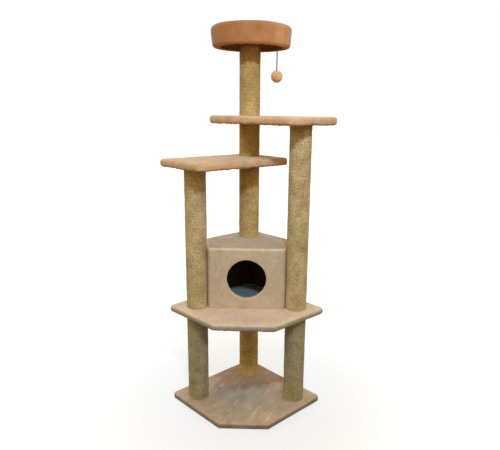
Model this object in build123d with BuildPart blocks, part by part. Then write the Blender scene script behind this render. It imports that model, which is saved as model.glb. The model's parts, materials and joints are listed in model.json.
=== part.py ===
from build123d import *

import os
from math import atan2, cos, degrees, hypot, pi, sin

os.makedirs("parts", exist_ok=True)

# A corner cat tree, in millimetres: +Z up, X to the right, +Y towards the corner of the room.
# The origin is on the floor, under the middle of the tree's bounding box.

# ---- driving dimensions: posts -------------------------------------------------------------
TUBE_D = 89.0              # cardboard tube
TUBE_WALL = 4.0
ROPE_D = 6.5               # sisal rope wound on the tube
POST_D = TUBE_D + 2 * ROPE_D
PLUG_H = 18.0              # wooden plug in each end of a tube
INSERT_D = 10.0            # threaded insert through each plug

# ---- driving dimensions: boards ------------------------------------------------------------
BOARD_T = 18.0             # chipboard of the base, the middle board and the shelves
PILE = 7.5                 # plush carpet round the middle board
SHELF_PILE = 9.0           # plush carpet round the shelves, a little looser
BASE_PILE = 5.0            # carpet on top of the base
HEM_T = 3.0                # carpet tucked under the base, flattened by the weight
HEM_W = 45.0               # width of that tuck
CORNER_R = 20.0            # corners of a board, seen from above
EDGE_R = 14.0              # rounded carpet edge of the middle board and the shelves
BASE_EDGE_R = 9.0          # rounded carpet edge of the base, top only

# outlines of the pentagonal boards, as distances from the back post's axis
BASE_APEX = 158.0          # corner behind the back post
BASE_TIP = (381.0, 214.0)  # side tip: how far out, how far in front
BASE_FRONT = (117.0, 471.0)
MID_APEX = 170.0
MID_TIP = (385.0, 222.0)
MID_FRONT = (141.0, 450.0)

# shelves: rectangles laid along the line from the back post to a side post
SHELF_L = 540.0
SHELF_W = 316.0
SHELF_ALONG = 178.0        # shelf centre, along that line from the back post
SHELF_ASIDE = 31.0         # shelf centre, off that line towards the middle of the tree

# ---- driving dimensions: where things stand ------------------------------------------------
BACK_LOWER_X = 4.0         # the back post under the condo stands a little right of the one above
PERCH_X = 6.0              # so does the perch, on the top post
SIDE_X = 242.0             # side posts, either side of the middle
SIDE_AHEAD = 231.0         # side posts, in front of the back post
PERCH_R = 191.5            # rim of the perch
BACK_Y = (BASE_FRONT[1] - PERCH_R) / 2
SIDE_Y = BACK_Y - SIDE_AHEAD
MID_Z = 497.2              # mid-heights of the three upper boards
LEFT_Z = 1213.9
RIGHT_Z = 1410.7
CONDO_TOP = 818.6
PERCH_Z = 1747.0           # underside of the perch
PERCH_H = 93.0

# ---- driving dimensions: condo -------------------------------------------------------------
CONDO_CARPET = 6.0
CONDO_FRONT = (185.0, 254.7)   # front corner: how far out, how far in front of the back post
CONDO_TIP = (218.0, 68.0)
CONDO_APEX = 150.0
CONDO_CORNER_R = 20.0
CONDO_EDGE_R = 15.0
PANEL_T = 12.0
BATTEN = 18.0
LINING_T = 4.0             # carpet turned in through the entrance
HOLE_D = 190.0             # clear entrance, inside its turned-in carpet
HOLE_Z = 663.0
MAT_T = 5.0
MAT_GAP = 2.0

# ---- driving dimensions: perch -------------------------------------------------------------
PERCH_BOARD_R = 180.0
PERCH_BOARD_T = 15.0
PERCH_HEM_T = 5.0
PERCH_HEM_R = 150.0        # inner edge of the gathered hem
CLOTH_T = 2.0              # dark cloth disc inside the hem
PERCH_FOOT_R = 184.5       # rim at its foot, a little smaller than at its top
PERCH_INNER_R = 153.0      # inside of the rim at its shoulder
CORE_FOOT_R = 153.0        # inside of the foam where it meets the board
RIM_SHOULDER = 75.0        # height above the underside where the rim starts to round over
COVER_T = 4.0
PAD_T = 30.0
PAD_R = 148.0

# ---- driving dimensions: fasteners ---------------------------------------------------------
BOLT_R = 4.0               # M8
CLEAR_R = 4.25
WASHER_R, WASHER_T = 11.0, 1.5
HEAD_R, HEAD_T = 7.0, 5.0
SINK_R = 12.0              # counterbore for a head and its washer
SINK_H = WASHER_T + HEAD_T + 0.5
SCREW_R = 1.75
SCREW_HEAD_R, SCREW_HEAD_T = 3.5, 2.0
SCREW_BITE = 14.0          # how far a condo screw goes into its strip
SCREW_STAGGER = 6.0        # half the height between the screws of two walls at a corner
BOLT_PAST = 2.0            # bolt tip past its plug
STAPLE_WIRE = 0.9
STAPLE_W = 11.0
STAPLE_H = 12.0
STAPLE_PITCH = 80.0
STAPLE_INSET = 8.0         # from the inner edge of the base's tuck
STAPLE_BURIED = 2.0        # crown inside the carpet under a board
SEAM_INSET = 60.0          # seam under a board, from its edge
PERCH_STAPLES = 20
STAPLE_RING_R = 160.0
STANDING = (Align.CENTER, Align.CENTER, Align.MIN)

# ---- driving dimensions: toy ---------------------------------------------------------------
TOY_OUT, TOY_AHEAD = 129.0, 97.0   # from the back post's axis
TOY_BALL_R = 27.0
TOY_BALL_Z = 1609.0
CORD_D = 5.0
CORD_IN_BALL = 12.0
TOY_WIRE_R = 0.8
TOY_STAPLE_W = 8.0
TOY_STAPLE_DROP = 6.0      # crown of the toy's staple, under the perch
TOY_STAPLE_SINK = 14.0     # its legs, up from the underside of the perch
LOOP_R, LOOP_WIRE_R = 2.5, 1.4
KNOT_R = 4.0
KNOT_DROP = 6.6
PIVOT_GAP = 0.3

# ---- heights that follow -------------------------------------------------------------------
MID_SLAB = BOARD_T + 2 * PILE
SHELF_SLAB = BOARD_T + 2 * SHELF_PILE
BASE_TOP = HEM_T + BOARD_T + BASE_PILE
MID_BOTTOM, MID_TOP = MID_Z - MID_SLAB / 2, MID_Z + MID_SLAB / 2
LEFT_BOTTOM, LEFT_TOP = LEFT_Z - SHELF_SLAB / 2, LEFT_Z + SHELF_SLAB / 2
RIGHT_BOTTOM, RIGHT_TOP = RIGHT_Z - SHELF_SLAB / 2, RIGHT_Z + SHELF_SLAB / 2
PERCH_BOARD_Z = PERCH_Z + PERCH_HEM_T
PERCH_FLOOR = PERCH_BOARD_Z + PERCH_BOARD_T
ROOF_TOP = CONDO_TOP - CONDO_CARPET
ROOF_BOTTOM = ROOF_TOP - PANEL_T

POSTS = {
    "left_lower": (-SIDE_X, SIDE_Y, BASE_TOP, MID_BOTTOM),
    "right_lower": (SIDE_X, SIDE_Y, BASE_TOP, MID_BOTTOM),
    "back_lower": (BACK_LOWER_X, BACK_Y, BASE_TOP, MID_BOTTOM),
    "left_upper": (-SIDE_X, SIDE_Y, MID_TOP, LEFT_BOTTOM),
    "right_upper": (SIDE_X, SIDE_Y, MID_TOP, RIGHT_BOTTOM),
    "back_mid": (0, BACK_Y, CONDO_TOP, LEFT_BOTTOM),
    "back_upper": (0, BACK_Y, LEFT_TOP, RIGHT_BOTTOM),
    "back_top": (0, BACK_Y, RIGHT_TOP, PERCH_BOARD_Z - CLOTH_T),
}
LEFT_SPOT, RIGHT_SPOT, BACK_SPOT = (-SIDE_X, SIDE_Y), (SIDE_X, SIDE_Y), (0, BACK_Y)
LOWER_SPOTS = [LEFT_SPOT, RIGHT_SPOT, (BACK_LOWER_X, BACK_Y)]


def save(builder, name):
    """Label the finished piece and write it under its own name."""
    builder.part.label = name
    export_step(builder.part, f"parts/{name}.step")


# ---- outlines ------------------------------------------------------------------------------
def pentagon(front, tip, apex):
    """Corners of a symmetric five-sided outline, anticlockwise from the front left."""
    return [
        (-front[0], BACK_Y - front[1]),
        (front[0], BACK_Y - front[1]),
        (tip[0], BACK_Y - tip[1]),
        (0, BACK_Y + apex),
        (-tip[0], BACK_Y - tip[1]),
    ]


def shelf_corners(side):
    """Corners of the left (-1) or right (+1) shelf, anticlockwise."""
    reach = hypot(SIDE_X, SIDE_AHEAD)
    along = (side * SIDE_X / reach, -SIDE_AHEAD / reach)
    aside = (-side * SIDE_AHEAD / reach, -SIDE_X / reach)
    corners = []
    for a, b in ((-1, -1), (1, -1), (1, 1), (-1, 1)):
        run = SHELF_ALONG + a * SHELF_L / 2
        off = SHELF_ASIDE + b * SHELF_W / 2
        corners.append((run * along[0] + off * aside[0], BACK_Y + run * along[1] + off * aside[1]))
    return corners if side < 0 else corners[::-1]


def inset_corners(corners, inset):
    """Sharp corners of an anticlockwise outline drawn in by the inset."""
    drawn_in = []
    for i, here in enumerate(corners):
        before = corners[i - 1]
        after = corners[(i + 1) % len(corners)]
        into = Vector(here[0] - before[0], here[1] - before[1]).normalized()
        out = Vector(after[0] - here[0], after[1] - here[1]).normalized()
        shift = (out - into) * (inset / into.cross(out).Z)
        drawn_in.append((here[0] + shift.X, here[1] + shift.Y))
    return drawn_in


def rounded(corners, radius, inset=0.0):
    """An outline with rounded corners, drawn in by the inset."""
    with BuildSketch() as outline:
        with BuildLine():
            Polyline(*corners, close=True)
        make_face()
        fillet(outline.vertices(), radius)
        if inset:
            offset(amount=-inset)
    return outline.sketch


# ---- steps used inside a part --------------------------------------------------------------
def bore(spots, low, high, radius):
    """Round upright holes at the spots, between two heights."""
    with Locations(*[(x, y, (low + high) / 2) for x, y in spots]):
        Cylinder(radius, high - low, mode=Mode.SUBTRACT)


def rod(x, y, start, end, radius):
    """An upright cylinder between two heights."""
    with Locations((x, y, (start + end) / 2)):
        Cylinder(radius, abs(end - start))


def ring(x, y, start, end, radius, hole):
    """An upright tube between two heights."""
    rod(x, y, start, end, radius)
    bore([(x, y)], min(start, end), max(start, end), hole)


def staple(spot, turn):
    """A wire staple with its crown at the spot and its legs upwards."""
    leg = (STAPLE_W - STAPLE_WIRE) / 2
    with Locations(Location(spot, (0, 0, turn))):
        Box(STAPLE_W, STAPLE_WIRE, STAPLE_WIRE, align=STANDING)
        with Locations((-leg, 0, 0), (leg, 0, 0)):
            Box(STAPLE_WIRE, STAPLE_WIRE, STAPLE_H, align=STANDING)


def staples_along(corners, crown_z):
    """Staples evenly spaced along the edges of an outline."""
    for a, b in zip(corners, corners[1:] + corners[:1]):
        count = round(hypot(b[0] - a[0], b[1] - a[1]) / STAPLE_PITCH)
        turn = degrees(atan2(b[1] - a[1], b[0] - a[0]))
        for k in range(count):
            t = (k + 0.5) / count
            staple((a[0] + t * (b[0] - a[0]), a[1] + t * (b[1] - a[1]), crown_z), turn)


# ---- posts: a cardboard tube in a sleeve of sisal rope, with a plug in each end ------------
for post, (x, y, low, high) in POSTS.items():
    with BuildPart() as tube:
        ring(x, y, low, high, TUBE_D / 2, TUBE_D / 2 - TUBE_WALL)
    save(tube, f"{post}_tube")

    with BuildPart() as sisal:
        ring(x, y, low, high, POST_D / 2, TUBE_D / 2)
    save(sisal, f"{post}_sisal")

plug_spans = []
for x, y, low, high in POSTS.values():
    plug_spans += [(x, y, low, low + PLUG_H), (x, y, high - PLUG_H, high)]

with BuildPart() as post_end_plugs:
    for x, y, low, high in plug_spans:
        ring(x, y, low, high, TUBE_D / 2 - TUBE_WALL, INSERT_D / 2)
save(post_end_plugs, "post_end_plugs")

with BuildPart() as threaded_inserts:
    for x, y, low, high in plug_spans:
        ring(x, y, low, high, INSERT_D / 2, BOLT_R)
save(threaded_inserts, "threaded_inserts")

# ---- bolts: x, y, the height their washer bears on, the height of their tip ----------------
BASE_SEAT = HEM_T + SINK_H
BASE_BOLTS = [(x, y, BASE_SEAT, BASE_TOP + PLUG_H + BOLT_PAST) for x, y in LOWER_SPOTS]
BOARD_BOLTS = [
    (BACK_LOWER_X, BACK_Y, MID_TOP - PILE - SINK_H, MID_BOTTOM - PLUG_H - BOLT_PAST),
    (-SIDE_X, SIDE_Y, LEFT_TOP - SHELF_PILE - SINK_H, LEFT_BOTTOM - PLUG_H - BOLT_PAST),
    (SIDE_X, SIDE_Y, RIGHT_TOP - SHELF_PILE - SINK_H, RIGHT_BOTTOM - PLUG_H - BOLT_PAST),
    (0, BACK_Y, ROOF_BOTTOM, CONDO_TOP + PLUG_H + BOLT_PAST),
    (0, BACK_Y, PERCH_FLOOR - SINK_H, PERCH_BOARD_Z - CLOTH_T - PLUG_H - BOLT_PAST),
]
for group, bolts in (("base", BASE_BOLTS), ("board", BOARD_BOLTS)):
    with BuildPart() as screwed:
        for x, y, seat, tip in bolts:
            back = -1 if tip > seat else 1
            under_head = seat + back * WASHER_T
            rod(x, y, under_head, tip, BOLT_R)
            rod(x, y, under_head, under_head + back * HEAD_T, HEAD_R)
    save(screwed, f"{group}_bolts")

    with BuildPart() as washers:
        for x, y, seat, tip in bolts:
            back = -1 if tip > seat else 1
            ring(x, y, seat, seat + back * WASHER_T, WASHER_R, CLEAR_R)
    save(washers, f"{group}_bolt_washers")

STUDS = [
    (-SIDE_X, SIDE_Y, MID_BOTTOM, MID_TOP),
    (SIDE_X, SIDE_Y, MID_BOTTOM, MID_TOP),
    (0, BACK_Y, LEFT_BOTTOM, LEFT_TOP),
    (0, BACK_Y, RIGHT_BOTTOM, RIGHT_TOP),
]
with BuildPart() as joining_studs:
    for x, y, low, high in STUDS:
        rod(x, y, low - PLUG_H, high + PLUG_H, BOLT_R)
save(joining_studs, "joining_studs")

# ---- condo: outlines of its walls ----------------------------------------------------------
CONDO = pentagon(CONDO_FRONT, CONDO_TIP, CONDO_APEX)
WALL_OUTSIDE = rounded(CONDO, CONDO_CORNER_R, CONDO_CARPET)
ROOM = inset_corners(CONDO, CONDO_CARPET + PANEL_T)
WALLS = ["front", "right_side", "back_right", "back_left", "left_side"]
FRONT_FACE = BACK_Y - CONDO_FRONT[1]
ROOM_FRONT = FRONT_FACE + CONDO_CARPET + PANEL_T

# corner posts of the room: square-sided strips in each upright corner
battens = []
for i, here in enumerate(ROOM):
    before, after = ROOM[i - 1], ROOM[(i + 1) % len(ROOM)]
    into = Vector(here[0] - before[0], here[1] - before[1]).normalized()
    out = Vector(after[0] - here[0], after[1] - here[1]).normalized()
    battens.append((Vector(*here), into, out))

with BuildPart() as condo_screws:
    # through the walls into the strips, the two walls at a corner at different heights
    for i, (here, _, out) in enumerate(battens):
        there = battens[(i + 1) % len(battens)][0]
        inward = Vector(-out.Y, out.X)
        for foot, shift in ((here + out * (BATTEN / 2), 1), (there - out * (BATTEN / 2), -1)):
            for height in (MID_TOP + 40, (MID_TOP + ROOF_BOTTOM) / 2, ROOF_BOTTOM - 40):
                start = foot - inward * PANEL_T + Vector(0, 0, height + shift * SCREW_STAGGER)
                with Locations(Plane(origin=start, z_dir=inward)):
                    Cylinder(SCREW_R, PANEL_T + SCREW_BITE, align=STANDING)
                    Cylinder(SCREW_HEAD_R, SCREW_HEAD_T, align=STANDING)
    # down through the roof
    for here, into, out in battens:
        core = here + (out - into) * (BATTEN / 2)
        rod(core.X, core.Y, ROOF_TOP, ROOF_BOTTOM - SCREW_BITE, SCREW_R)
        rod(core.X, core.Y, ROOF_TOP, ROOF_TOP - SCREW_HEAD_T, SCREW_HEAD_R)
save(condo_screws, "condo_screws")

with BuildPart() as condo_floor_screws:
    for here, into, out in battens:
        core = here + (out - into) * (BATTEN / 2)
        rod(core.X, core.Y, MID_BOTTOM + PILE, MID_TOP + SCREW_BITE, SCREW_R)
        rod(core.X, core.Y, MID_BOTTOM + PILE, MID_BOTTOM + PILE + SCREW_HEAD_T, SCREW_HEAD_R)
save(condo_floor_screws, "condo_floor_screws")

# ---- base: board, and a carpet over its top and edges and tucked under it ------------------
BASE = pentagon(BASE_FRONT, BASE_TIP, BASE_APEX)
with BuildPart() as base_board:
    with BuildSketch(Plane.XY.offset(HEM_T)):
        add(rounded(BASE, CORNER_R, BASE_PILE))
    extrude(amount=BOARD_T)
    bore(LOWER_SPOTS, HEM_T, HEM_T + BOARD_T, CLEAR_R)
    bore(LOWER_SPOTS, HEM_T, BASE_SEAT, SINK_R)
save(base_board, "base_board")

with BuildPart() as base_carpet:
    with BuildSketch():
        add(rounded(BASE, CORNER_R))
    extrude(amount=BASE_TOP)
    fillet(base_carpet.edges().group_by(Axis.Z)[-1], BASE_EDGE_R)
    fillet(base_carpet.edges().group_by(Axis.Z)[0], HEM_T)
    with BuildSketch(Plane.XY.offset(HEM_T)):
        add(rounded(BASE, CORNER_R, BASE_PILE))
    extrude(amount=BOARD_T, mode=Mode.SUBTRACT)
    with BuildSketch():
        with BuildLine():
            Polyline(*inset_corners(BASE, HEM_W), close=True)
        make_face()
    extrude(amount=HEM_T, mode=Mode.SUBTRACT)
    bore(LOWER_SPOTS, HEM_T + BOARD_T, BASE_TOP, CLEAR_R)
save(base_carpet, "base_carpet")

with BuildPart() as base_staples:
    staples_along(inset_corners(BASE, HEM_W - STAPLE_INSET), STAPLE_WIRE)
save(base_staples, "base_staples")


# ---- middle board and shelves: a board with plush carpet all round it ----------------------
def carpeted_board(name, corners, bottom, pile, studs, bolts, screws=None):
    """Write a board and its carpet, cleared for the studs, bolts and screws through them."""
    board_low, board_high = bottom + pile, bottom + pile + BOARD_T
    with BuildPart() as board:
        with BuildSketch(Plane.XY.offset(board_low)):
            add(rounded(corners, CORNER_R, pile))
        extrude(amount=BOARD_T)
        bore(studs + bolts, board_low, board_high, CLEAR_R)
        bore(bolts, board_high - SINK_H, board_high, SINK_R)
        if screws:
            add(screws, mode=Mode.SUBTRACT)
    save(board, f"{name}_board")

    with BuildPart() as carpet:
        with BuildSketch(Plane.XY.offset(bottom)):
            add(rounded(corners, CORNER_R))
        extrude(amount=BOARD_T + 2 * pile)
        levels = carpet.edges().group_by(Axis.Z)
        fillet(levels[0] + levels[-1], EDGE_R)
        with BuildSketch(Plane.XY.offset(board_low)):
            add(rounded(corners, CORNER_R, pile))
        extrude(amount=BOARD_T, mode=Mode.SUBTRACT)
        bore(studs, bottom, board_high + pile, CLEAR_R)
        bore(bolts, bottom, board_low, CLEAR_R)
        if screws:
            add(screws, mode=Mode.SUBTRACT)
    save(carpet, f"{name}_carpet")


MID = pentagon(MID_FRONT, MID_TIP, MID_APEX)
carpeted_board(
    "mid", MID, MID_BOTTOM, PILE, LOWER_SPOTS[:2], LOWER_SPOTS[2:], condo_floor_screws.part
)
LEFT_SHELF, RIGHT_SHELF = shelf_corners(-1), shelf_corners(1)
carpeted_board("left_shelf", LEFT_SHELF, LEFT_BOTTOM, SHELF_PILE, [BACK_SPOT], [LEFT_SPOT])
carpeted_board("right_shelf", RIGHT_SHELF, RIGHT_BOTTOM, SHELF_PILE, [BACK_SPOT], [RIGHT_SPOT])

with BuildPart() as board_staples:
    for corners, bottom in ((MID, MID_BOTTOM), (LEFT_SHELF, LEFT_BOTTOM), (RIGHT_SHELF, RIGHT_BOTTOM)):
        staples_along(inset_corners(corners, SEAM_INSET), bottom + STAPLE_BURIED)
save(board_staples, "board_staples")

# ---- condo ---------------------------------------------------------------------------------
ROOM_MIDDLE = Vector(0, BACK_Y - CONDO_FRONT[1] / 2)
for i, wall in enumerate(WALLS):
    ends = [Vector(*CONDO[i]), Vector(*CONDO[(i + 1) % len(CONDO)])]
    wedge = [ROOM_MIDDLE] + [ROOM_MIDDLE + (end - ROOM_MIDDLE) * 2 for end in ends]
    with BuildPart() as panel:
        with BuildSketch(Plane.XY.offset(MID_TOP)):
            add(WALL_OUTSIDE)
            with BuildLine():
                Polyline(*ROOM, close=True)
            make_face(mode=Mode.SUBTRACT)
            with BuildLine():
                Polyline(*wedge, close=True)
            make_face(mode=Mode.INTERSECT)
        extrude(amount=ROOF_BOTTOM - MID_TOP)
        if wall == "front":
            with Locations(Location((0, ROOM_FRONT, HOLE_Z), (90, 0, 0))):
                Cylinder(HOLE_D / 2 + LINING_T, 4 * PANEL_T, mode=Mode.SUBTRACT)
        add(condo_screws.part, mode=Mode.SUBTRACT)
    save(panel, f"condo_{wall}_panel")

with BuildPart() as condo_roof_panel:
    with BuildSketch(Plane.XY.offset(ROOF_BOTTOM)):
        add(WALL_OUTSIDE)
    extrude(amount=PANEL_T)
    fillet(condo_roof_panel.edges().group_by(Axis.Z)[-1], CONDO_EDGE_R - CONDO_CARPET)
    bore([BACK_SPOT], ROOF_BOTTOM, ROOF_TOP, CLEAR_R)
    add(condo_screws.part, mode=Mode.SUBTRACT)
save(condo_roof_panel, "condo_roof_panel")

with BuildPart() as condo_corner_battens:
    for here, into, out in battens:
        with BuildSketch(Plane.XY.offset(MID_TOP)):
            with BuildLine():
                far = here + (out - into) * BATTEN
                Polyline(here, here + out * BATTEN, far, here - into * BATTEN, close=True)
            make_face()
        extrude(amount=ROOF_BOTTOM - MID_TOP)
    add(condo_screws.part, mode=Mode.SUBTRACT)
    add(condo_floor_screws.part, mode=Mode.SUBTRACT)
save(condo_corner_battens, "condo_corner_battens")

with BuildPart() as condo_box:
    with BuildSketch(Plane.XY.offset(MID_TOP)):
        add(WALL_OUTSIDE)
    extrude(amount=ROOF_TOP - MID_TOP)
    fillet(condo_box.edges().group_by(Axis.Z)[-1], CONDO_EDGE_R - CONDO_CARPET)

with BuildPart() as condo_carpet:
    with BuildSketch(Plane.XY.offset(MID_TOP)):
        add(rounded(CONDO, CONDO_CORNER_R))
    extrude(amount=CONDO_TOP - MID_TOP)
    fillet(condo_carpet.edges().group_by(Axis.Z)[-1], CONDO_EDGE_R)
    add(condo_box.part, mode=Mode.SUBTRACT)
    with Locations(Location((0, ROOM_FRONT - PANEL_T / 2, HOLE_Z), (90, 0, 0))):
        Cylinder(HOLE_D / 2 + LINING_T, PANEL_T)
    with Locations(Location((0, ROOM_FRONT, HOLE_Z), (90, 0, 0))):
        Cylinder(HOLE_D / 2, 4 * PANEL_T, mode=Mode.SUBTRACT)
    bore([BACK_SPOT], ROOF_TOP, CONDO_TOP, CLEAR_R)
save(condo_carpet, "condo_carpet")

with BuildPart() as condo_floor_mat:
    with BuildSketch(Plane.XY.offset(MID_TOP)) as mat_outline:
        with BuildLine():
            Polyline(*inset_corners(ROOM, MAT_GAP), close=True)
        make_face()
        chamfer(mat_outline.vertices(), 2 * BATTEN + 2 * MAT_GAP)
    extrude(amount=MAT_T)
    fillet(condo_floor_mat.edges().group_by(Axis.Z)[-1], MAT_T / 2)
save(condo_floor_mat, "condo_floor_mat")

# ---- perch: round pieces about one upright axis, a little right of the post's -------------
PERCH_PLANE = Plane(origin=(PERCH_X, BACK_Y, PERCH_Z), x_dir=(1, 0, 0), z_dir=(0, -1, 0))
PERCH_AXIS = Axis((PERCH_X, BACK_Y, 0), (0, 0, 1))
FLOOR = PERCH_HEM_T + PERCH_BOARD_T
RIM_MIDDLE = (PERCH_R + PERCH_INNER_R) / 2
CORE_R = PERCH_R - COVER_T
CORE_INNER_R = PERCH_INNER_R + COVER_T
CORE_CREST = (RIM_MIDDLE, PERCH_H - COVER_T)

with BuildPart() as perch_board:
    rod(PERCH_X, BACK_Y, PERCH_BOARD_Z, PERCH_FLOOR, PERCH_BOARD_R)
    bore([BACK_SPOT], PERCH_BOARD_Z, PERCH_FLOOR, CLEAR_R)
    bore([BACK_SPOT], PERCH_FLOOR - SINK_H, PERCH_FLOOR, SINK_R)
save(perch_board, "perch_board")

with BuildPart() as perch_rim_core:
    with BuildSketch(PERCH_PLANE):
        with BuildLine():
            Polyline(
                (CORE_INNER_R, RIM_SHOULDER),
                (CORE_FOOT_R, FLOOR),
                (PERCH_BOARD_R, FLOOR),
                (CORE_R, RIM_SHOULDER),
            )
            ThreePointArc((CORE_R, RIM_SHOULDER), CORE_CREST, (CORE_INNER_R, RIM_SHOULDER))
        make_face()
    revolve(axis=PERCH_AXIS)
save(perch_rim_core, "perch_rim_core")

with BuildPart() as perch_cover:
    with BuildSketch(PERCH_PLANE):
        with BuildLine():
            Polyline((PERCH_HEM_R, PERCH_HEM_T), (PERCH_HEM_R, 0), (PERCH_BOARD_R, 0))
            TangentArc((PERCH_BOARD_R, 0), (PERCH_FOOT_R, PERCH_HEM_T), tangent=(1, 0))
            Line((PERCH_FOOT_R, PERCH_HEM_T), (PERCH_R, RIM_SHOULDER))
            ThreePointArc((PERCH_R, RIM_SHOULDER), (RIM_MIDDLE, PERCH_H), (PERCH_INNER_R, RIM_SHOULDER))
            Polyline(
                (PERCH_INNER_R, RIM_SHOULDER),
                (CORE_FOOT_R - COVER_T, FLOOR),
                (CORE_FOOT_R, FLOOR),
                (CORE_INNER_R, RIM_SHOULDER),
            )
            ThreePointArc((CORE_INNER_R, RIM_SHOULDER), CORE_CREST, (CORE_R, RIM_SHOULDER))
            Polyline(
                (CORE_R, RIM_SHOULDER),
                (PERCH_BOARD_R, FLOOR),
                (PERCH_BOARD_R, PERCH_HEM_T),
                (PERCH_HEM_R, PERCH_HEM_T),
            )
        make_face()
    revolve(axis=PERCH_AXIS)
save(perch_cover, "perch_cover")

with BuildPart() as perch_pad:
    rod(PERCH_X, BACK_Y, PERCH_FLOOR, PERCH_FLOOR + PAD_T, PAD_R)
    fillet(perch_pad.edges().group_by(Axis.Z)[-1], PAD_T / 3)
save(perch_pad, "perch_pad")

with BuildPart() as perch_underside_cloth:
    rod(PERCH_X, BACK_Y, PERCH_BOARD_Z - CLOTH_T, PERCH_BOARD_Z, PERCH_HEM_R)
    bore([BACK_SPOT], PERCH_BOARD_Z - CLOTH_T, PERCH_BOARD_Z, CLEAR_R)
save(perch_underside_cloth, "perch_underside_cloth")

with BuildPart() as perch_staples:
    for k in range(PERCH_STAPLES):
        angle = 2 * pi * (k + 0.5) / PERCH_STAPLES
        spot = (PERCH_X + STAPLE_RING_R * cos(angle), BACK_Y + STAPLE_RING_R * sin(angle), PERCH_Z - STAPLE_WIRE)
        staple(spot, degrees(angle))
save(perch_staples, "perch_staples")

# ---- toy: a staple under the perch, a knotted loop on it, and a ball on an elastic cord ----
TOY_Y = BACK_Y - TOY_AHEAD
OUTWARD = Vector(TOY_OUT, -TOY_AHEAD).normalized()
CROWN_Z = PERCH_Z - TOY_STAPLE_DROP
KNOT_Z = CROWN_Z - KNOT_DROP
CORD_TOP = KNOT_Z - KNOT_R - PIVOT_GAP
CORD_END = TOY_BALL_Z + TOY_BALL_R - CORD_IN_BALL

with BuildPart() as toy_staple:
    crown = Plane(origin=(TOY_OUT, TOY_Y, CROWN_Z), z_dir=OUTWARD)
    with Locations(crown):
        Cylinder(TOY_WIRE_R, TOY_STAPLE_W + 2 * TOY_WIRE_R)
    for side in (-1, 1):
        leg = OUTWARD * (side * TOY_STAPLE_W / 2) + Vector(TOY_OUT, TOY_Y)
        rod(leg.X, leg.Y, CROWN_Z, PERCH_Z + TOY_STAPLE_SINK, TOY_WIRE_R)
save(toy_staple, "toy_staple")

with BuildPart() as toy_knot:
    with Locations(crown):
        Torus(LOOP_R, LOOP_WIRE_R)
    with Locations((TOY_OUT, TOY_Y, KNOT_Z)):
        Sphere(KNOT_R)
save(toy_knot, "toy_knot")

with BuildPart() as toy_cord:
    rod(TOY_OUT, TOY_Y, CORD_TOP, CORD_END, CORD_D / 2)
save(toy_cord, "toy_cord")

with BuildPart() as toy_ball:
    with Locations((TOY_OUT, TOY_Y, TOY_BALL_Z)):
        Sphere(TOY_BALL_R)
    bore([(TOY_OUT, TOY_Y)], CORD_END, CORD_END + 2 * CORD_IN_BALL, CORD_D / 2)
save(toy_ball, "toy_ball")
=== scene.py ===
"""A corner cat tree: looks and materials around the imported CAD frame. Metres, +Z up."""

import json
import math

import bmesh
import bpy
import numpy as np
from mathutils import Matrix, Vector, geometry, noise


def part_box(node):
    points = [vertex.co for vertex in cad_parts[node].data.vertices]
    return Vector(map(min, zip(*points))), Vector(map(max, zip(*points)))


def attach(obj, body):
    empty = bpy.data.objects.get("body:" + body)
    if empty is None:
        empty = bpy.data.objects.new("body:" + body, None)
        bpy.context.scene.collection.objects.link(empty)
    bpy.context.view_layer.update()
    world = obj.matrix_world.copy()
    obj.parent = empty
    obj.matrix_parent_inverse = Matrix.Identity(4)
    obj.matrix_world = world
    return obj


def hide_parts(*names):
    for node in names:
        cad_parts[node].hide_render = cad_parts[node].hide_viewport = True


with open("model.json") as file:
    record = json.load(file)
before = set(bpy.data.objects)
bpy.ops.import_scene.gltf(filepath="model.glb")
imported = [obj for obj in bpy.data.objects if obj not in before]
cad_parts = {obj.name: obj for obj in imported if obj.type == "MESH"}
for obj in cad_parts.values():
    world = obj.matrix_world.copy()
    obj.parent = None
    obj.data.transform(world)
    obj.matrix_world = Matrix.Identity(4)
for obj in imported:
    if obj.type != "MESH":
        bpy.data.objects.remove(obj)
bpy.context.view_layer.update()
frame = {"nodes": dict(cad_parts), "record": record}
MM = 0.001

# ---- driving values, from the frame ----------------------------------
POSTS = [n[: -len("_sisal")] for n in frame["nodes"] if n.endswith("_sisal")]


def middle(node):
    """Centre of a node's box."""
    low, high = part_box(node)
    return (low + high) / 2


BACK = middle("back_top_sisal")       # axis of the back post
PERCH = middle("perch_cover")
BASE_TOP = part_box("base_carpet")[1].z
MID_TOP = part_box("mid_carpet")[1].z
CONDO_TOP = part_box("condo_carpet")[1].z
PERCH_Z, PERCH_TOP = (corner.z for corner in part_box("perch_cover"))

# ---- camera: place, and turns in degrees -----------------------------
EYE = Vector((0.1018, BACK.y - 2.4996, 1.4468))
YAW, PITCH_DOWN, ROLL = -1.0, 13.4, -0.7
SENSOR, LENS = 36.0, 35.4744     # width and focal length, mm
SHIFT = (-0.02, 0.009)           # of the lens, in widths of the picture

# ---- carpets ---------------------------------------------------------
CORNER_R = 20 * MM         # corners of a board, seen from above
EDGE_R = 14 * MM           # rounded edge of the middle board and the shelves
BASE_EDGE_R = 9 * MM
BASE_FOOT_R = 3 * MM       # where the base's carpet turns under
STEP = 4.5 * MM            # spacing of a carpet's points
WRAP_T = 4.5 * MM          # cloth thickness
TUCK = 60 * MM             # how far a wrap goes in under its board
TUCK_RISE = 3.6 * MM       # its end, up behind the separate sheet
UNDER_INSET = 46 * MM      # edge of the separate sheet under a board
UNDER_T = 3 * MM           # thickness of that sheet
HEM_W = 45 * MM            # tuck under the base
HEM_T = 2.6 * MM
FOOT_HEAP = 1.3 * MM       # pile pushed up round a post's foot
CONDO_HEAP = 1.2 * MM      # and round the condo's walls

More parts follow.
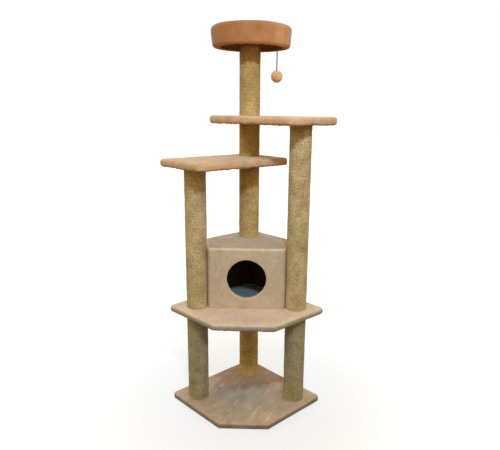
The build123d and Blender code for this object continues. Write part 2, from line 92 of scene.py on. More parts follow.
# ---- condo -----------------------------------------------------------
CONDO_EDGE_R = 15 * MM
CONDO_T = 3.5 * MM
HOLE_R, HOLE_LIP = 95 * MM, 6 * MM
HOLE_DEPTH = 18 * MM
ENTRANCE = next(o for o in frame["record"]["physics"]["openings"] if o["name"] == "condo_entrance")
HOLE_Z = (ENTRANCE["box_m"][0][2] + ENTRANCE["box_m"][1][2]) / 2

# ---- sisal rope ------------------------------------------------------
ROPE_PITCH = 6.5 * MM
ROPE_ROWS = 5              # points across one turn of rope
ROPE_COLUMNS = 84          # points round the post
ROPE_GROOVE = 1.9 * MM

# ---- perch and toy ---------------------------------------------------
RIM_R, RIM_INNER_R = 191.5 * MM, 153 * MM   # the rim where it is widest, outside and inside
RIM_FOOT_R = 184.5 * MM
RIM_SHOULDER = 75 * MM     # where the rim starts to round over, above the perch's underside
FOOT_ROUND = 7.5 * MM      # where the cover turns under
PERCH_HEM_R = 150 * MM     # inner edge of the gathered hem
DISC_R = 152 * MM          # dark cloth disc inside the hem
DIMPLE_OUT = 45 * MM       # the cushion's four stitches, each way from its middle
CORD_D = 5 * MM


# ---- camera ----------------------------------------------------------
def make_camera():
    yaw, pitch, roll = (math.radians(a) for a in (YAW, PITCH_DOWN, ROLL))
    ahead = Vector((math.sin(yaw) * math.cos(pitch), math.cos(yaw) * math.cos(pitch), -math.sin(pitch)))
    level = Vector((math.cos(yaw), -math.sin(yaw), 0))
    down = ahead.cross(level)
    right = level * math.cos(roll) + down * math.sin(roll)
    below = down * math.cos(roll) - level * math.sin(roll)
    data = bpy.data.cameras.new("camera")
    data.sensor_width = SENSOR
    data.lens = LENS
    data.shift_x, data.shift_y = SHIFT
    camera = bpy.data.objects.new("camera", data)
    camera.matrix_world = Matrix.Translation(EYE) @ Matrix((right, -below, -ahead)).transposed().to_4x4()
    bpy.context.scene.collection.objects.link(camera)
    bpy.context.scene.camera = camera


make_camera()
scene = bpy.context.scene
scene.view_settings.view_transform = "Standard"


# ---- materials -------------------------------------------------------
def tone(r, g, b):
    """A display colour, 0 to 255, as the linear colour that Blender takes."""
    return tuple((v / 255) ** 2.2 for v in (r, g, b)) + (1.0,)


class Shading:
    """A material with one Principled shader and short calls for the nodes in front of it."""

    def __init__(self, name, **sockets):
        self.material = bpy.data.materials.new(name)
        self.material.use_nodes = True
        self.tree = self.material.node_tree
        self.shader = self.tree.nodes["Principled BSDF"]
        for socket, value in sockets.items():
            self.shader.inputs[socket.replace("_", " ")].default_value = value
        self.at = self.node("ShaderNodeTexCoord").outputs["Object"]

    def node(self, kind, inputs=(), **settings):
        made = self.tree.nodes.new(kind)
        for key, value in settings.items():
            setattr(made, key, value)
        for key, value in dict(inputs).items():
            if isinstance(value, bpy.types.NodeSocket):
                self.tree.links.new(value, made.inputs[key])
            else:
                made.inputs[key].default_value = value
        return made

    def noise(self, per_metre, detail=2.0, stretch=(1, 1, 1), turn=0.0, rough=0.5, tilt=0.0):
        """Noise from 0 to 1 with features of one over per_metre, tilted about Y and turned about Z."""
        turned = (0, math.radians(tilt), math.radians(turn))
        place = self.node(
            "ShaderNodeMapping",
            {"Vector": self.at, "Scale": [1 / v for v in stretch], "Rotation": turned},
            vector_type="TEXTURE",
        )
        made = self.node(
            "ShaderNodeTexNoise",
            {"Vector": place.outputs[0], "Scale": per_metre, "Detail": detail, "Roughness": rough},
        )
        return made.outputs["Fac"]

    def maths(self, operation, *values):
        """One operation on sockets and numbers."""
        return self.node("ShaderNodeMath", dict(enumerate(values)), operation=operation).outputs[0]

    def sum(self, *parts):
        """Sum of (weight, socket) pairs."""
        total = None
        for weight, socket in parts:
            scaled = self.maths("MULTIPLY", socket, weight)
            total = scaled if total is None else self.maths("ADD", total, scaled)
        return total

    def share(self, value, start, end, **settings):
        """How far a value is from start to end, from 0 to 1."""
        ends = {"Value": value, "From Min": start, "From Max": end}
        return self.node("ShaderNodeMapRange", ends, **settings).outputs[0]

    def ramp(self, factor, *stops):
        """Colours at places from 0 to 1."""
        made = self.node("ShaderNodeValToRGB", {"Fac": factor})
        elements = made.color_ramp.elements
        while len(elements) < len(stops):
            elements.new(0.5)
        for element, (place, colour) in zip(elements, stops):
            element.position = place
            element.color = colour
        return made.outputs["Color"]

    def shade(self, colour, factor, low, high, start=0.25, end=0.75):
        """The colour times a grey that goes from low to high as the factor goes from start to end."""
        dark, light = (low, low, low, 1), (high, high, high, 1)
        return self.multiply(colour, self.ramp(factor, (start, dark), (end, light)))

    def multiply(self, colour, by, amount=1.0):
        """The colour times another colour or a tint, by that amount."""
        inputs = {0: amount, 6: colour, 7: by}
        return self.node("ShaderNodeMix", inputs, data_type="RGBA", blend_type="MULTIPLY").outputs[2]

    def patch(self, colour, place, reach, core, by, *ragged):
        """Painted light and shade in a tinted patch round a place, whole inside the core, gone past the
        reach.
        """
        gap = self.node("ShaderNodeVectorMath", {0: self.at, 1: place}, operation="DISTANCE").outputs["Value"]
        gap = self.sum((1.0, gap), *ragged)
        amount = self.share(gap, reach, core, interpolation_type="SMOOTHSTEP")
        return self.multiply(colour, by, amount)

    def paint_light_shade_by_slope(self, colour, *stops):
        """Painted light and shade: the colour times a grey for each slope, from -1 facing down to 1 facing
        up.
        """
        normal = self.node("ShaderNodeNewGeometry").outputs["Normal"]
        up = self.node("ShaderNodeSeparateXYZ", {0: normal}).outputs[2]
        greys = [((slope + 1) / 2, (v, v, v, 1)) for slope, v in stops]
        grey = self.ramp(self.share(up, -1.0, 1.0), *greys)
        return self.multiply(colour, grey)

    def finish(self, colour, height, distance, strength=1.0):
        """Link the colour, and a bump of that height in metres."""
        bump = self.node("ShaderNodeBump", {"Height": height, "Distance": distance, "Strength": strength})
        self.tree.links.new(bump.outputs[0], self.shader.inputs["Normal"])
        self.tree.links.new(colour, self.shader.inputs["Base Color"])
        return self.material


def plush(name, light, middle_tone, dark, stroke_turn=55.0, strokes=1.14, slope=(), painted_patches=()):
    """Short carpet pile, brushed this way and that, with a few pale finger strokes.

    slope is painted light and shade: how light the pile is painted at each slope; painted_patches are
    patches of painted light and shade, each with its place, how far it reaches, its core and its tint."""
    s = Shading(
        name,
        Roughness=0.95,
        Sheen_Weight=0.3,
        Sheen_Roughness=0.45,
        Sheen_Tint=(1.0, 0.93, 0.84, 1),
        Specular_IOR_Level=0.12,
    )
    patches = s.noise(10, 4, rough=0.6)
    nap = s.noise(28, 3, stretch=(1, 1.8, 1.4), turn=stroke_turn)
    finger = s.noise(9, 2, stretch=(1, 6, 6), turn=stroke_turn)
    tufts = s.noise(230, 3, rough=0.65)
    fibres = s.noise(1500, 2, stretch=(1, 1, 0.5))
    brushed = s.sum((0.6, patches), (0.4, nap))
    colour = s.ramp(brushed, (0.34, dark), (0.5, middle_tone), (0.66, light))
    colour = s.shade(colour, finger, 1.0, strokes, 0.6, 0.7)
    colour = s.shade(colour, tufts, 0.86, 1.06)
    colour = s.shade(colour, fibres, 0.9, 1.05)
    # painted light and shade: tinted patches, then a grey for each slope
    for patch in painted_patches:
        colour = s.patch(colour, *patch, (0.25, patches), (0.12, finger))
    if slope:
        colour = s.paint_light_shade_by_slope(colour, *slope)
    return s.finish(colour, s.sum((0.7, tufts), (0.3, fibres)), 1.6 * MM, 0.55)


def sisal(name, light, middle_tone, dark):
    """Three-strand sisal rope: its UV map runs along the rope in metres, and across in turns."""
    s = Shading(name, Roughness=0.78, Specular_IOR_Level=0.25, Sheen_Weight=0.12, Sheen_Roughness=0.4)
    along = s.node("ShaderNodeUVMap", uv_map="rope").outputs[0]
    split = s.node("ShaderNodeSeparateXYZ", {0: along})
    # strands cross the rope on a slant, one every 5 mm of rope
    slant = s.sum((1 / (5 * MM), split.outputs[0]), (0.9, split.outputs[1]))
    strand = s.share(s.maths("SINE", s.sum((2 * math.pi, slant))), -1.0, 0.6)
    from_crest = s.maths("SUBTRACT", s.maths("FRACT", split.outputs[1]), 0.5)
    groove = s.share(s.maths("ABSOLUTE", from_crest), 0.5, 0.18)
    broad = s.noise(14, 3)
    turns = s.noise(170, 2, stretch=(0.12, 0.12, 1))
    fibres = s.noise(900, 3, stretch=(0.35, 0.35, 1.6), rough=0.7)
    specks = s.noise(260, 4, rough=0.75)
    # the twisted yarns' short slanting dashes, both ways: their pattern, with painted highlights where they
    # catch the light
    dashes = [s.noise(130, 2, stretch=(2.2, 2.2, 0.7), tilt=lean) for lean in (32, -32)]
    colour = s.ramp(s.sum((0.7, broad), (0.3, turns)), (0.26, dark), (0.5, middle_tone), (0.74, light))
    for dash in dashes:
        colour = s.shade(colour, dash, 0.8, 1.2, 0.35, 0.65)
    colour = s.shade(colour, specks, 0.84, 1.16)
    colour = s.shade(colour, fibres, 0.84, 1.12)
    colour = s.shade(colour, strand, 0.84, 1.04)
    # painted shade: darker in the grooves between turns of rope
    colour = s.shade(colour, groove, 0.74, 1.0)
    return s.finish(colour, s.sum((0.45, strand), (0.35, groove), (0.5, fibres)), 1.3 * MM, 0.8)


def woven(name, light, dark, sheen=0.35, thread=0.9 * MM, relief=0.35 * MM, slope=(), painted_light_patches=()):
    """Close woven or knitted cloth with a soft finish."""
    s = Shading(name, Roughness=0.9, Sheen_Weight=sheen, Sheen_Roughness=0.4, Specular_IOR_Level=0.15)
    broad = s.noise(16, 3)
    creases = s.noise(38, 4, stretch=(1, 1, 0.45))
    threads = s.noise(0.6 / thread, 2, rough=0.6)
    fibres = s.noise(1.6 / thread, 2)
    colour = s.ramp(s.sum((0.6, broad), (0.4, creases)), (0.36, dark), (0.64, light))
    colour = s.shade(colour, threads, 0.86, 1.06)
    colour = s.shade(colour, fibres, 0.93, 1.04)
    # painted light: lighter patches where light falls, then painted light and shade for each slope
    for patch in painted_light_patches:
        colour = s.patch(colour, *patch, (0.06, broad))
    if slope:
        colour = s.paint_light_shade_by_slope(colour, *slope)
    return s.finish(colour, s.sum((0.5, threads), (0.35, fibres), (0.5, creases)), relief, 0.7)


def felt(name, light, dark, relief=0.5 * MM):
    """Pressed fibres with no weave."""
    s = Shading(name, Roughness=0.97, Sheen_Weight=0.25, Sheen_Roughness=0.5, Specular_IOR_Level=0.1)
    clumps = s.noise(90, 4, rough=0.7)
    fibres = s.noise(1100, 3, stretch=(1, 0.4, 1), turn=30)
    colour = s.ramp(clumps, (0.35, dark), (0.65, light))
    colour = s.shade(colour, fibres, 0.8, 1.12)
    return s.finish(colour, s.sum((0.6, clumps), (0.4, fibres)), relief, 0.7)


def chipboard(name, light, dark):
    """Pressed wood chips."""
    s = Shading(name, Roughness=0.8, Specular_IOR_Level=0.3)
    chips = s.node("ShaderNodeTexVoronoi", {"Vector": s.at, "Scale": 420.0, "Randomness": 1.0})
    grey = s.node("ShaderNodeSeparateXYZ", {0: chips.outputs["Color"]}).outputs[0]
    dust = s.noise(1300, 2)
    broad = s.noise(30, 2)
    colour = s.ramp(s.sum((0.6, grey), (0.4, broad)), (0.15, dark), (0.75, light))
    colour = s.shade(colour, dust, 0.85, 1.08)
    return s.finish(colour, s.sum((0.6, grey), (0.4, dust)), 0.4 * MM, 0.5)


def softwood(name, light, dark):
    """Planed pine with its grain along the upright."""
    s = Shading(name, Roughness=0.6, Specular_IOR_Level=0.35)
    grain = s.noise(240, 3, stretch=(1, 1, 0.06))
    rings = s.noise(60, 2, stretch=(1, 1, 0.1))
    colour = s.ramp(s.sum((0.5, grain), (0.5, rings)), (0.38, dark), (0.6, light))
    return s.finish(colour, grain, 0.2 * MM, 0.4)


def cardboard(name, light, dark):
    """Wound grey-brown paper."""
    s = Shading(name, Roughness=0.85, Specular_IOR_Level=0.2)
    layers = s.noise(110, 3, stretch=(0.5, 0.5, 2))
    fibres = s.noise(1400, 2)
    colour = s.ramp(layers, (0.36, dark), (0.64, light))
    colour = s.shade(colour, fibres, 0.9, 1.06)
    return s.finish(colour, s.sum((0.5, layers), (0.5, fibres)), 0.2 * MM, 0.4)


def foam(name, light, dark):
    """Open-cell foam."""
    s = Shading(name, Roughness=0.95, Specular_IOR_Level=0.1)
    cells = s.node("ShaderNodeTexVoronoi", {"Vector": s.at, "Scale": 700.0}).outputs["Distance"]
    broad = s.noise(30, 2)
    colour = s.ramp(s.sum((0.6, cells), (0.4, broad)), (0.2, dark), (0.7, light))
    return s.finish(colour, cells, 0.6 * MM, 0.6)


def zinc(name):
    """Bright zinc plate with fine scuffs."""
    s = Shading(name, Metallic=1.0, Roughness=0.38)
    scuffs = s.noise(500, 3, stretch=(1, 1, 0.3))
    broad = s.noise(80, 2)
    dull, bright = tone(165, 168, 172), tone(205, 207, 210)
    colour = s.ramp(s.sum((0.5, scuffs), (0.5, broad)), (0.35, dull), (0.65, bright))
    return s.finish(colour, scuffs, 0.05 * MM, 0.3)


def elastic(name, light, dark):
    """Braided elastic cord."""
    s = Shading(name, Roughness=0.7, Sheen_Weight=0.2, Sheen_Roughness=0.4, Specular_IOR_Level=0.3)
    braid = s.node(
        "ShaderNodeTexWave",
        {"Vector": s.at, "Scale": 260.0, "Distortion": 1.5, "Detail": 2.0},
        bands_direction="DIAGONAL",
    ).outputs["Fac"]
    fuzz = s.noise(2500, 2)
    colour = s.shade(s.ramp(braid, (0.2, dark), (0.8, light)), fuzz, 0.85, 1.1)
    return s.finish(colour, braid, 0.3 * MM, 0.7)


# patches of painted light and shade: the base greyer in the middle where the cool key light falls, browner at
# the back in the boards' shade, and the perch lighter on its right where light falls: place, reach, core and
# tint
BASE_PAINTED_LIGHT_SHADE = [
    ((0.0, -0.08, BASE_TOP), 0.47, 0.14, (0.66, 0.81, 1.0, 1)),
    ((0.0, BACK.y + 0.1, BASE_TOP), 0.5, 0.4, (0.76, 0.62, 0.54, 1)),
]
PERCH_PAINTED_LIGHT = [((PERCH.x + 0.16, PERCH.y - 0.1, PERCH.z), 0.16, 0.05, (1.4, 1.6, 1.9, 1))]
# painted light and shade by slope: how light each covering is painted from facing down (-1) through a wall
# (0) to facing up (1); painted shade on the boards' and base's edges, a painted highlight on the condo's
#     rounded top
# edge and painted shade on its roof, painted bounce light under the perch and painted shade on its rim's top
BOARD_SLOPE_PAINTED_LIGHT_SHADE = ((0.1, 0.58), (0.85, 1.05))
BASE_SLOPE_PAINTED_SHADE = ((0.1, 0.52), (0.85, 0.97))
CONDO_SLOPE_PAINTED_LIGHT_SHADE = ((0.1, 1.0), (0.45, 1.22), (0.8, 1.22), (0.98, 0.74))
PERCH_SLOPE_PAINTED_LIGHT_SHADE = ((-0.95, 1.9), (-0.6, 1.0), (0.2, 1.0), (0.9, 0.8))
PLUSH_MID = plush(
    "plush_middle", tone(215, 196, 172), tone(208, 186, 161), tone(196, 172, 147), slope=BOARD_SLOPE_PAINTED_LIGHT_SHADE
)
PLUSH_SHELF = plush("plush_shelf", tone(205, 167, 124), tone(192, 153, 110), tone(176, 137, 97), 20, 1.06)
PLUSH_CONDO = plush(
    "plush_condo", tone(200, 179, 148), tone(191, 168, 137), tone(182, 155, 128), 70, 1.05, CONDO_SLOPE_PAINTED_LIGHT_SHADE
)
PLUSH_BASE = plush(
    "plush_base", tone(200, 180, 158), tone(187, 166, 145), tone(170, 150, 130), 62, 1.22, BASE_SLOPE_PAINTED_SHADE, BASE_PAINTED_LIGHT_SHADE
)
SISAL_FRONT = sisal("sisal_front", tone(217, 191, 138), tone(193, 168, 115), tone(160, 136, 89))
# painted shade: a darker, greener copy of the rope for the lower posts, where less light falls
SISAL_LOWER_PAINTED_SHADE = sisal("sisal_lower_painted_shade", tone(188, 175, 136), tone(167, 154, 113), tone(138, 124, 87))
# painted warm shade: an oranger copy of the rope for the back posts, in the warm shade under the boards
SISAL_BACK_PAINTED_WARM_SHADE = sisal("sisal_back_painted_warm_shade", tone(212, 176, 110), tone(188, 153, 90), tone(158, 124, 70))
PERCH_CLOTH = woven(
    "perch_cloth", tone(181, 126, 78), tone(164, 110, 66), 0.3, slope=PERCH_SLOPE_PAINTED_LIGHT_SHADE, painted_light_patches=PERCH_PAINTED_LIGHT
)
PAD_CLOTH = woven("pad_cloth", tone(170, 136, 102), tone(152, 117, 85), 0.35, 1.2 * MM)
# painted shade: the recessed disc under the perch given a dark brown for the shade it lies in
DISC_PAINTED_SHADE = woven("dark_cloth", tone(128, 84, 48), tone(104, 66, 36), 0.1, 1.0 * MM, 0.2 * MM)
# painted shade: the condo's floor mat given a grey-teal for the deep shade inside the condo
MAT_PAINTED_SHADE = felt("mat_felt", tone(126, 144, 128), tone(100, 120, 108))
CHIPBOARD = chipboard("chipboard", tone(196, 164, 120), tone(132, 98, 62))
PANEL = chipboard("chipboard_dark", tone(74, 54, 38), tone(46, 32, 22))
SOFTWOOD = softwood("softwood", tone(222, 190, 140), tone(188, 148, 98))
STAINED = softwood("softwood_stained", tone(66, 48, 34), tone(44, 31, 21))
CARDBOARD = cardboard("cardboard", tone(176, 150, 118), tone(146, 120, 90))
FOAM = foam("foam", tone(232, 220, 180), tone(196, 180, 130))
ZINC = zinc("zinc_steel")
ELASTIC = elastic("dark_elastic", tone(58, 50, 46), tone(30, 26, 24))
TOY_PLUSH = plush("toy_plush", tone(226, 191, 134), tone(216, 170, 113), tone(186, 141, 90))


# ---- outlines and meshes ---------------------------------------------
def sharp_corners(node, shortest=60 * MM):
    """Corners of a board's outline, anticlockwise, where its long straight sides would meet."""
    points = sorted({(round(v.co.x, 5), round(v.co.y, 5)) for v in frame["nodes"][node].data.vertices})
    hull = []
    for run in (points, points[::-1]):
        side = []
        for p in run:
            while len(side) > 1:
                a, b = Vector(side[-2]), Vector(side[-1])
                if (b - a).cross(Vector(p) - b) > 1e-9:
                    break
                side.pop()
            side.append(p)
        hull += side[:-1]
    lines = []
    for a, b in sides(hull):
        a, b = Vector(a), Vector(b)
        heading = (b - a).normalized()
        if lines and lines[-1][1].dot(heading) > 0.9999:
            lines[-1][2] += (b - a).length
        else:
            lines.append([a, heading, (b - a).length])
    lines = [line for line in lines if line[2] > shortest]
    corners = []
    for (a, along, _), (b, after, _) in zip(lines[-1:] + lines[:-1], lines):
        corners.append(a + along * ((b - a).cross(after) / along.cross(after)))
    return corners


def inset_corners(corners, inset):
    """Sharp corners of an anticlockwise outline drawn in by the inset."""
    drawn_in = []
    for i, here in enumerate(corners):
        into = (here - corners[i - 1]).normalized()
        out = (corners[(i + 1) % len(corners)] - here).normalized()
        drawn_in.append(here + (out - into) * (inset / into.cross(out)))
    return drawn_in


def rounded(corners, radius, step=STEP):
    """Points and outward normals round an outline with rounded corners."""
    centres = inset_corners(corners, radius)
    places, normals = [], []
    for i, centre in enumerate(centres):
        into = (corners[i] - corners[i - 1]).normalized()
        out = (corners[(i + 1) % len(corners)] - corners[i]).normalized()
        turn = math.acos(max(-1, min(1, into.dot(out))))
        first = math.atan2(-into.x, into.y)
        count = max(3, round(radius * turn / step))
        for k in range(count + 1):
            angle = first + turn * k / count
            normal = Vector((math.cos(angle), math.sin(angle)))
            places.append(centre + normal * radius)
            normals.append(normal)
        after = centres[(i + 1) % len(centres)]
        normal = Vector((out.y, -out.x))
        count = round((after - centre).length / step)
        for k in range(1, count):
            places.append(centre.lerp(after, k / count) + normal * radius)
            normals.append(normal)
    return np.array(places), np.array(normals)


def along_edges(corners, step=STEP):
    """Points evenly spaced along a sharp-cornered outline."""
    places = []
    for a, b in sides(corners):
        count = max(1, round((b - a).length / step))
        places += [a.lerp(b, k / count) for k in range(count)]
    return np.array(places)


def depth_inside(corners, at):
    """How far each point is inside a convex outline."""
    depth = np.full(len(at), np.inf)
    for a, b in sides(corners):
        heading = (b - a).normalized()
        depth = np.minimum(depth, (at - np.array(a)) @ np.array((-heading.y, heading.x)))
    return depth


def inside(ring, at):
    """Which points lie inside a convex ring, anticlockwise."""
    within = np.ones(len(at), bool)
    for a, b in zip(ring, np.roll(ring, -1, axis=0)):
        within &= (b[0] - a[0]) * (at[:, 1] - a[1]) - (b[1] - a[1]) * (at[:, 0] - a[0]) > 1e-10
    return within


def fill(outer, hole=None, step=STEP):
    """Points and triangles between convex rings, with a hexagonal grid of points inside."""
    rings = [outer] if hole is None else [outer, hole]
    edge_points = np.concatenate(rings)
    links, start = [], 0
    for ring in rings:
        links += [(start + i, start + (i + 1) % len(ring)) for i in range(len(ring))]
        start += len(ring)

    def keep(at):
        return inside(outer, at) if hole is None else inside(outer, at) & ~inside(hole, at)

    low, high = edge_points.min(axis=0), edge_points.max(axis=0)
    rows = np.arange(low[1], high[1], step * math.sqrt(3) / 2)
    columns = np.arange(low[0], high[0], step)
    grid = np.array([(x + (j % 2) * step / 2, y) for j, y in enumerate(rows) for x in columns])
    grid = grid[keep(grid)]
    near = np.full(len(grid), np.inf)
    for block in range(0, len(edge_points), 64):
        away = grid[:, None] - edge_points[None, block : block + 64]
        near = np.minimum(near, np.linalg.norm(away, axis=2).min(axis=1))
    points = [Vector(p) for p in np.concatenate([edge_points, grid[near > 0.6 * step]])]
    made = geometry.delaunay_2d_cdt(points, links, [], 0, 1e-7)
    at = np.array([tuple(p) for p in made[0]])
    faces = np.array(made[2])
    a, b, c = (at[faces[:, k]] for k in range(3))
    turn = (b - a)[:, 0] * (c - a)[:, 1] - (b - a)[:, 1] * (c - a)[:, 0]
    faces[turn < 0] = faces[turn < 0][:, ::-1]
    sound = np.abs(turn) > 1e-10
    return at, faces[sound & keep((a + b + c) / 3)]


class Skin:
    """Points and faces gathered from several patches, joined where they meet."""

    def __init__(self):
        self.points, self.faces = [], []

    def patch(self, points, faces, flip=False):
        start = sum(len(p) for p in self.points)
        self.points.append(np.asarray(points, float))
        for face in faces:
            face = [int(i) + start for i in face]
            self.faces.append(face[::-1] if flip else face)

    def rings(self, rings, flip=False):
        """Quads between closed rings with equal numbers of points."""
        n = len(rings[0])
        faces = []
        for k in range(len(rings) - 1):
            for i in range(n):
                j = (i + 1) % n
                faces.append((k * n + i, k * n + j, (k + 1) * n + j, (k + 1) * n + i))
        self.patch(np.concatenate(rings), faces, flip)

    def level(self, at, z, faces, flip=False):
        """A patch seen in plan, at one height or at a height for each point."""
        self.patch(lifted(at, z), faces, flip)

    def edge(self, places, normals, profile, flip=False):
        """Quads round an outline, through each (inset, height) of a profile."""
        self.rings([lifted(places - normals * inset, z) for inset, z in profile], flip)

    def mesh(self, name):
        data = bpy.data.meshes.new(name)
        data.from_pydata(np.concatenate(self.points).tolist(), [], self.faces)
        work = bmesh.new()
        work.from_mesh(data)
        bmesh.ops.remove_doubles(work, verts=work.verts, dist=0.02 * MM)
        bmesh.ops.dissolve_degenerate(work, dist=0.01 * MM, edges=work.edges)
        work.to_mesh(data)
        work.free()
        return data


def coordinates(mesh):
    at = np.empty(len(mesh.vertices) * 3)
    mesh.vertices.foreach_get("co", at)
    return at.reshape(-1, 3)


def set_coordinates(mesh, at):
    mesh.vertices.foreach_set("co", np.ascontiguousarray(at, float).ravel())
    mesh.update()


def normals_of(mesh):
    out = np.empty(len(mesh.vertices) * 3)
    mesh.vertex_normals.foreach_get("vector", out)
    return out.reshape(-1, 3)


def noise_at(points, size, seed=0.0):
    """Smooth noise, about -1 to 1, with features of that size."""
    shift = Vector((seed * 17.3, seed * 5.1, seed * 29.7))
    return np.array([noise.noise(Vector(p) / size + shift) for p in points])


def dress(mesh, material):
    """One material, smooth all over."""
    mesh.materials.clear()
    mesh.materials.append(material)
    mesh.polygons.foreach_set("use_smooth", [True] * len(mesh.polygons))


def make(name, mesh, material, body="root"):
    piece = bpy.data.objects.new(name, mesh)
    scene.collection.objects.link(piece)
    dress(mesh, material)
    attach(piece, body)
    return piece


def thicken(piece, thickness):
    """Cloth thickness, inwards from the modelled surface."""
    solid = piece.modifiers.new("thickness", "SOLIDIFY")
    solid.thickness = thickness
    solid.offset = -1.0
    solid.use_rim = True


def cover(node, name, mesh, material, slot, thickness, **facts):
    piece = make(name, mesh, material)
    thicken(piece, thickness)
    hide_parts(node)


def pile_relief(mesh, seed, mask=None, broad=0.9 * MM, tufts=0.7 * MM, fine=0.35 * MM):
    """Push a carpet's points in and out along their normals."""
    at, out = coordinates(mesh), normals_of(mesh)
    push = broad * noise_at(at, 80 * MM, seed)
    push += tufts * noise_at(at, 13 * MM, seed + 1)
    push += fine * noise_at(at, 5 * MM, seed + 2)
    if mask is not None:
        push *= mask(at)
    set_coordinates(mesh, at + out * push[:, None])


def lifted(at, z):
    """Points of a plan at one height, or at a height for each."""
    return np.column_stack([at, np.broadcast_to(z, len(at))])


def sides(corners):
    """Each corner of an outline with the next one."""
    return zip(corners, corners[1:] + corners[:1])


def polar(r, angle, z=0.0, x=0.0, y=0.0):
    """Points round an upright axis, one to a row."""
    parts = np.broadcast_arrays(x + r * np.cos(angle), y + r * np.sin(angle), z)
    return np.column_stack([part.ravel() for part in parts])


def area_of(corners):
    return abs(sum(a.cross(b) for a, b in sides(corners))) / 2


def length_of(corners):
    return sum((b - a).length for a, b in sides(corners))


def span_of(corners):
    xs, ys = [c.x for c in corners], [c.y for c in corners]
    return max(xs) - min(xs), max(ys) - min(ys)


# ---- carpeted boards -------------------------------------------------
def arc(centre_inset, centre_z, radius, start, end, count):
    """Profile points (inset, z) on an arc; 0 degrees points out, 90 up."""
    steps = np.radians(np.linspace(start, end, count + 1))
    return [(centre_inset - radius * math.cos(a), centre_z + radius * math.sin(a)) for a in steps]


def standing_on(z, side):
    """Post discs that stand on (side 1) or hang under (side -1) a surface at that height."""
    discs = []
    for post in POSTS:
        low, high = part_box(f"{post}_sisal")
        touching = low.z if side > 0 else high.z
        if abs(touching - z) < 1 * MM:
            discs.append(((low.x + high.x) / 2, (low.y + high.y) / 2, (high.x - low.x) / 2))
    return discs


def clear_of(gap):
    """0 under something that stands on the pile, 1 well away from it."""
    return np.clip((gap + 2 * MM) / (4 * MM), 0, 1)


def heaped(gap, height):
    """The ridge of pile round something that stands on it."""
    return height * np.exp(-(((gap - 4 * MM) / (5 * MM)) ** 2)) * (gap > -2 * MM)


def pressed(at, discs):
    """0 under the posts, 1 well away, and how much the pile heaps up round their feet."""
    free, heap = np.ones(len(at)), np.zeros(len(at))
    for x, y, r in discs:
        gap = np.hypot(at[:, 0] - x, at[:, 1] - y) - r
        free *= clear_of(gap)
        heap += heaped(gap, FOOT_HEAP)
    return free, heap


def wrap_board(name, material, seed, footprint=None):
    """Plush over the top and edges of a board, tucked under it, and a second sheet below.

    footprint is the outline of a box that stands on the board."""
    node, boards = f"{name}_carpet", [f"{name}_board"]
    low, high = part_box(node)
    corners = sharp_corners(node)
    places, normals = rounded(corners, CORNER_R)
    profile = arc(EDGE_R, high.z - EDGE_R, EDGE_R, 90, 0, 7)
    profile += [(0, (low.z + high.z) / 2)]
    profile += arc(EDGE_R, low.z + EDGE_R, EDGE_R, 0, -90, 7)
    skin = Skin()
    skin.edge(places, normals, profile, flip=True)
    inner = places - normals * EDGE_R
    at, faces = fill(inner)
    skin.level(at, high.z, faces)
    at, faces = fill(inner, along_edges(inset_corners(corners, TUCK)))
    depth = depth_inside(corners, at)
    rise = TUCK_RISE * np.clip((depth - UNDER_INSET + 2 * MM) / (8 * MM), 0, 1)
    skin.level(at, low.z + rise, faces, flip=True)
    mesh = skin.mesh(f"{name}_wrap")
    over, under = standing_on(high.z, 1), standing_on(low.z, -1)

    def mask(at):
        free = np.where(at[:, 2] > (low.z + high.z) / 2, pressed(at, over)[0], pressed(at, under)[0])
        if footprint:
            boxed = clear_of(-depth_inside(footprint, at[:, :2]))
            free *= np.where(at[:, 2] > high.z - 2 * MM, boxed, 1)
        return free

    pile_relief(mesh, seed, mask)
    at = coordinates(mesh)
    flat_top = at[:, 2] > high.z - 2 * MM
    heap = pressed(at, over)[1]
    if footprint:
        heap += heaped(-depth_inside(footprint, at[:, :2]), CONDO_HEAP)
    at[:, 2] += np.where(flat_top, heap, 0)
    # the tucked edge is drawn up between its staples, more on the shelves' looser carpet
    lower = np.clip((high.z - EDGE_R - at[:, 2]) / EDGE_R, 0, 1) * pressed(at, under)[0]
    lower *= np.clip((40 * MM - depth_inside(corners, at[:, :2])) / (15 * MM), 0, 1)
    ragged = 1.5 * MM if footprint else 3.2 * MM
    drawn = 1.0 * MM * noise_at(at, 45 * MM, seed + 5) + ragged * noise_at(at, 20 * MM, seed + 6)
    at[:, 2] += lower * drawn
    set_coordinates(mesh, at)
    turned = high.z - low.z + TUCK
    cut = area_of(corners) + length_of(corners) * (turned - 2 * (2 - math.pi / 2) * EDGE_R)
    flat = tuple(side + 2 * turned for side in span_of(corners))
    facts = dict(flat=flat, held="stretched", rests_on=boards, area=cut)
    cover(node, f"{name}_carpet_wrap", mesh, material, "carpet_plush", WRAP_T, **facts)

    edge = inset_corners(corners, UNDER_INSET)
    at, faces = fill(along_edges(edge))
    roll = 3.0 * MM * (1 - np.clip(depth_inside(edge, at) / (7 * MM), 0, 1)) ** 2
    skin = Skin()
    skin.level(at, low.z + roll, faces, flip=True)
    mesh = skin.mesh(f"{name}_under")
    pile_relief(mesh, seed + 7, lambda p: pressed(p, under)[0], broad=0.5 * MM)
    facts = dict(flat=span_of(edge), held="stretched", rests_on=boards, area=area_of(edge))
    cover(node, f"{name}_carpet_under", mesh, material, "carpet_plush", UNDER_T, **facts)


